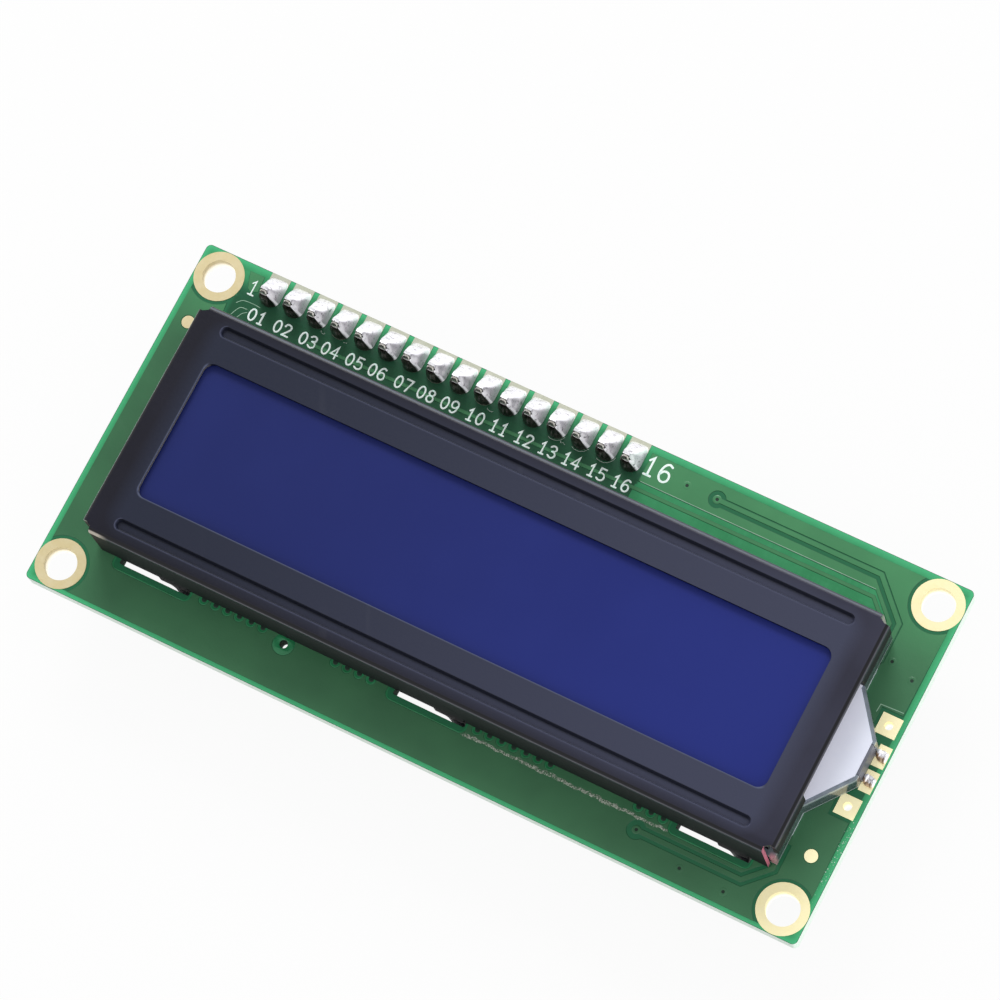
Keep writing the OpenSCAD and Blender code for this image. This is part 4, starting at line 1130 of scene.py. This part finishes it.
def build_flux():
    """A frosty strip of dried flux beside the bezel's foot, and thin threads of it round some of the joints."""
    film, crumbs = Heap(), Heap()
    x = np.linspace(44.0, 65.0, 170)
    wander = sum(0.035 * np.cos(x * k * 1.7 + rng.uniform(0, 6)) for k in (1, 2.3, 4.1))
    y = 31.64 + wander
    strength = 0.35 + sum(0.5 * np.exp(-((x - c) / w) ** 2) for c, w in ((44.8, 0.9), (52.4, 2.2), (58.3, 1.9)))
    line = np.column_stack([x - BOARD_X, BOARD_Y - y])
    width = 0.13 + 0.10 * strength
    width[[0, -1]] = 0.02
    film.add(*smear(line, width, FILM * 0.8, 0.012 + 0.02 * strength))
    for _ in range(260):
        k = rng.integers(0, len(x))
        if rng.uniform() > strength[k]:
            continue
        size = rng.uniform(0.015, 0.035) * (0.6 + 0.7 * strength[k])
        crumb_x = line[k, 0] + rng.normal(0, 0.06)
        crumb_y = line[k, 1] + rng.normal(0, 0.10) * (0.5 + strength[k])
        lump(crumb_x, crumb_y, FILM + 0.008, size, size * rng.uniform(0.6, 1.2), size * 0.5, film, 0.25, 5, 7)
    for pin_x in PIN_X[12:15]:
        start, turn = math.radians(rng.uniform(-120, -95)), math.radians(rng.uniform(85, 115))
        arc = circle(pin_x, PIN_Y + 0.18, 1.09, 26, start, turn)
        crumbs.add(*stroke(arc + rng.normal(0, 0.008, arc.shape), 0.024, 0.0, 0.03))
    for pin_x in PIN_X[[2, 3, 9, 12]]:
        start = np.array([pin_x + 0.75, PIN_Y - 0.75])
        bends = np.cumsum(np.concatenate([[start], rng.normal(0, 0.09, (5, 2)) + (0.09, -0.03)]), 0)
        crumbs.add(*stroke(curve_through(bends, 6), 0.02, 0.0, 0.03))
    film.piece("dried_flux_film", FLUX)
    crumbs.piece("dried_flux_threads", CRUMBS)


def build_edge_chips():
    """Small pale crumbs of laminate along the board's cut right edge."""
    heap = Heap()
    for _ in range(80):
        x = 39.15 + 0.78 * rng.beta(2.0, 1.3)
        y = rng.choice([-6.8, -8.0, -9.6, -11.2]) + rng.normal(0, 0.9)
        size = rng.uniform(0.012, 0.045)
        lump(x, y, 0.008, size, size * rng.uniform(0.6, 1.5), 0.012, heap, 0.25, 5, 8)
    heap.piece("edge_chips", CRUMBS)


# Rear artwork

RESISTOR_X = [8.0 + 3.4 * i for i in range(6)]
CAPACITOR_X = [-8.5, -11.9]
CHIP_Y = 8.6
REAR_Z = -BOARD_THK


def build_rear_copper():
    """Rear copper area, cleared round the header, the slots, the locating hole and the chip parts' pads."""
    heap = Heap()
    holes = SLOT_CLEARINGS + [circle(*LOCATING, LOCATING_CLEAR, 28)]
    for x in RESISTOR_X + CAPACITOR_X:
        holes.append(rounded(x - 1.35, CHIP_Y - 0.95, x + 1.35, CHIP_Y + 0.95, 0.2))
    plate(pour_outline(LAMP_NOTCH), holes, REAR_Z, REAR_Z - FILM, 0.05, heap)
    heap.piece("copper_areas_rear", MASK_COPPER, sharp=20)


def build_rear_tracks():
    """Fine tracks that fan out from the two covers to the header, and more between the two covers, raised under
    the mask.
    """
    heap = Heap()
    low, high = REAR_Z - FILM + 0.004, REAR_Z - FILM - 0.022
    for i, x in list(enumerate(PIN_X))[1:-1]:
        if i < 11:
            end_x, end_y, level = -15.5 + (i - 4.5) * 0.9, 6.1 - 0.02 * (i - 5) ** 2, 11.9 - 0.42 * abs(i - 5)
        else:
            end_x, end_y, level = 15.5 + (i - 19) * 0.9, 6.2, 11.9 - 0.42 * abs(i - 14)
        heap.add(*stroke([(x, 14.0), (x, level + 1.2), (end_x, level), (end_x, end_y)], 0.11, low, high, 0.8))
    for n in range(9):
        y = -4.6 + n * 0.9
        path = [(-8.6, y), (-4.0, y), (-3.4 + 0.02 * n, y - 0.6), (5.0, y - 0.6), (8.6, y)]
        heap.add(*stroke(path, 0.11, low, high, 0.8))
    heap.piece("tracks_rear", MASK_COPPER)


def build_rear_pads():
    """Solder fillets at both ends of each chip part, from its end face down to its pad."""
    heap, pads = Heap(), Heap()
    for x in RESISTOR_X + CAPACITOR_X:
        tall = 0.36 if x > 0 else 0.5
        for side in (-1, 1):
            pad = rounded(x + side - 0.45, CHIP_Y - 0.7, x + side + 0.45, CHIP_Y + 0.7, 0.1)
            plate(pad, [], REAR_Z, REAR_Z - 0.04, 0.02, pads)
            t = np.linspace(0, 1, 7)
            out = 0.98 + 0.40 * t
            down = tall * (1 - t) ** 2 + 0.03
            v = np.linspace(-0.6, 0.6, 9)
            grid_y = CHIP_Y + v[None] * (1 + 0.06 * t[:, None])
            grid_x = x + side * (out[:, None] + 0 * v)
            grid_z = REAR_Z - 0.03 - down[:, None] * (1 - 0.25 * (v[None] / 0.6) ** 4)
            top = np.stack([grid_x, grid_y, grid_z], -1)
            base = top.copy()
            base[..., 2] = REAR_Z - 0.035
            points = np.concatenate([top.reshape(-1, 3), base.reshape(-1, 3)])
            count = top.size // 3
            faces = grid_faces(7, 9) + [[i + count for i in f][::-1] for f in grid_faces(7, 9)]
            rim = [*range(0, 9), *range(17, 63, 9), *range(61, 53, -1), *range(45, 0, -9)]
            faces += [[i, j, j + count, i + count] for i, j in zip(rim, rim[1:] + rim[:1])]
            heap.add(points, faces)
    pads.piece("chip_pads_rear", GOLD, slot="gold_plate")
    heap.piece("chip_solder_rear", SOLDER, slot="solder")


def build_rear_numbers():
    """Numbers of the chip resistors and the header's ends, and a ring round each moulded cover."""
    heap = Heap()
    low, high = REAR_Z - FILM + 0.004, REAR_Z - FILM - 0.016
    for n, x in enumerate(RESISTOR_X, 1):
        write_number(str(n), x, CHIP_Y - 1.9, 0.9, 0.07, low, high, heap, -1)
    write_number("1", -34.1, 15.8, 1.4, 0.09, low, high, heap, -1)
    write_number("16", 8.6, 16.1, 1.4, 0.09, low, high, heap, -1)
    for cx in (-15.5, 15.5):
        heap.add(*stroke(oval(cx, -1.0, 7.0, 7.0, 72), 0.08, low, high, 0.6))
    heap.piece("numbers_rear", INK)


build_front_copper()
build_pale_mask_front()
build_tented_vias()
build_ridges()
build_vias("vias_front", VIAS_FRONT, 1)
build_vias("vias_rear", [*VIAS_FRONT[np.abs(VIAS_FRONT[:, 1]) > 10], (-2.0, 4.0), (3.0, -9.0), (24.5, 3.0)], -1)
build_front_numbers()
build_solder_joints()
build_lamp_solder()
build_flux()
build_edge_chips()
build_rear_copper()
build_rear_tracks()
build_rear_pads()
build_rear_numbers()


# Floor, lamps and world

DARK_WAY = (-0.42, 0.21, 0.88)


def build_stage():
    """Pale floor under the pins. Seen straight on, in a reflection or through a slot it is near white;
    the small part of it that is lit keeps a soft shadow."""
    bpy.ops.mesh.primitive_plane_add(size=6.0, location=(0, 0, -0.0102))
    floor = bpy.context.object
    floor.name = "floor"
    material = bpy.data.materials.new("floor")
    material.use_nodes = True
    tree = material.node_tree
    tree.nodes.remove(tree.nodes["Principled BSDF"])
    g = Graph(tree)
    rays = g.add("ShaderNodeLightPath").outputs
    seen = g.most(rays["Is Camera Ray"], rays["Is Glossy Ray"])
    seen = g.most(seen, rays["Is Transmission Ray"])
    lit = g.add("ShaderNodeBsdfDiffuse", {"Color": (0.86, 0.86, 0.86, 1.0)}).outputs[0]
    glow = g.add("ShaderNodeEmission", {"Color": (1.0, 1.0, 1.0, 1.0), "Strength": 1.0}).outputs[0]
    mixed = g.add("ShaderNodeMixShader", {0: seen * 0.93})
    tree.links.new(lit, mixed.inputs[1])
    tree.links.new(glow, mixed.inputs[2])
    tree.links.new(mixed.outputs[0], tree.nodes["Material Output"].inputs["Surface"])
    floor.data.materials.append(material)


def build_key():
    """Square soft light behind the header edge, turned towards the board's middle."""
    light = bpy.data.lights.new("key", "AREA")
    light.shape = "SQUARE"
    light.size = 0.5
    light.energy = 6.5
    holder = bpy.data.objects.new("key", light)
    bpy.context.scene.collection.objects.link(holder)
    holder.location = (-0.45, 0.85, 0.85)
    holder.rotation_euler = (-holder.location).to_track_quat("-Z", "Y").to_euler()


def build_dome():
    """Even pale sky, darker round one place near the top as a studio's ceiling is."""
    world = bpy.data.worlds.new("studio")
    world.use_nodes = True
    g = Graph(world.node_tree)
    way = g.add("ShaderNodeTexCoord").outputs["Generated"]
    towards = g.add("ShaderNodeVectorMath", {0: way, 1: Vector(DARK_WAY).normalized()}, operation="DOT_PRODUCT")
    strength = g.ramp(towards.outputs["Value"], math.cos(math.radians(30)), math.cos(math.radians(6)), 0.84, 0.22)
    background = world.node_tree.nodes["Background"]
    background.inputs["Color"].default_value = (1.0, 1.0, 1.0, 1.0)
    g.feed(background.inputs["Strength"], strength)
    bpy.context.scene.world = world


build_stage()
build_dome()
build_key()
bpy.context.scene.view_settings.view_transform = "Standard"
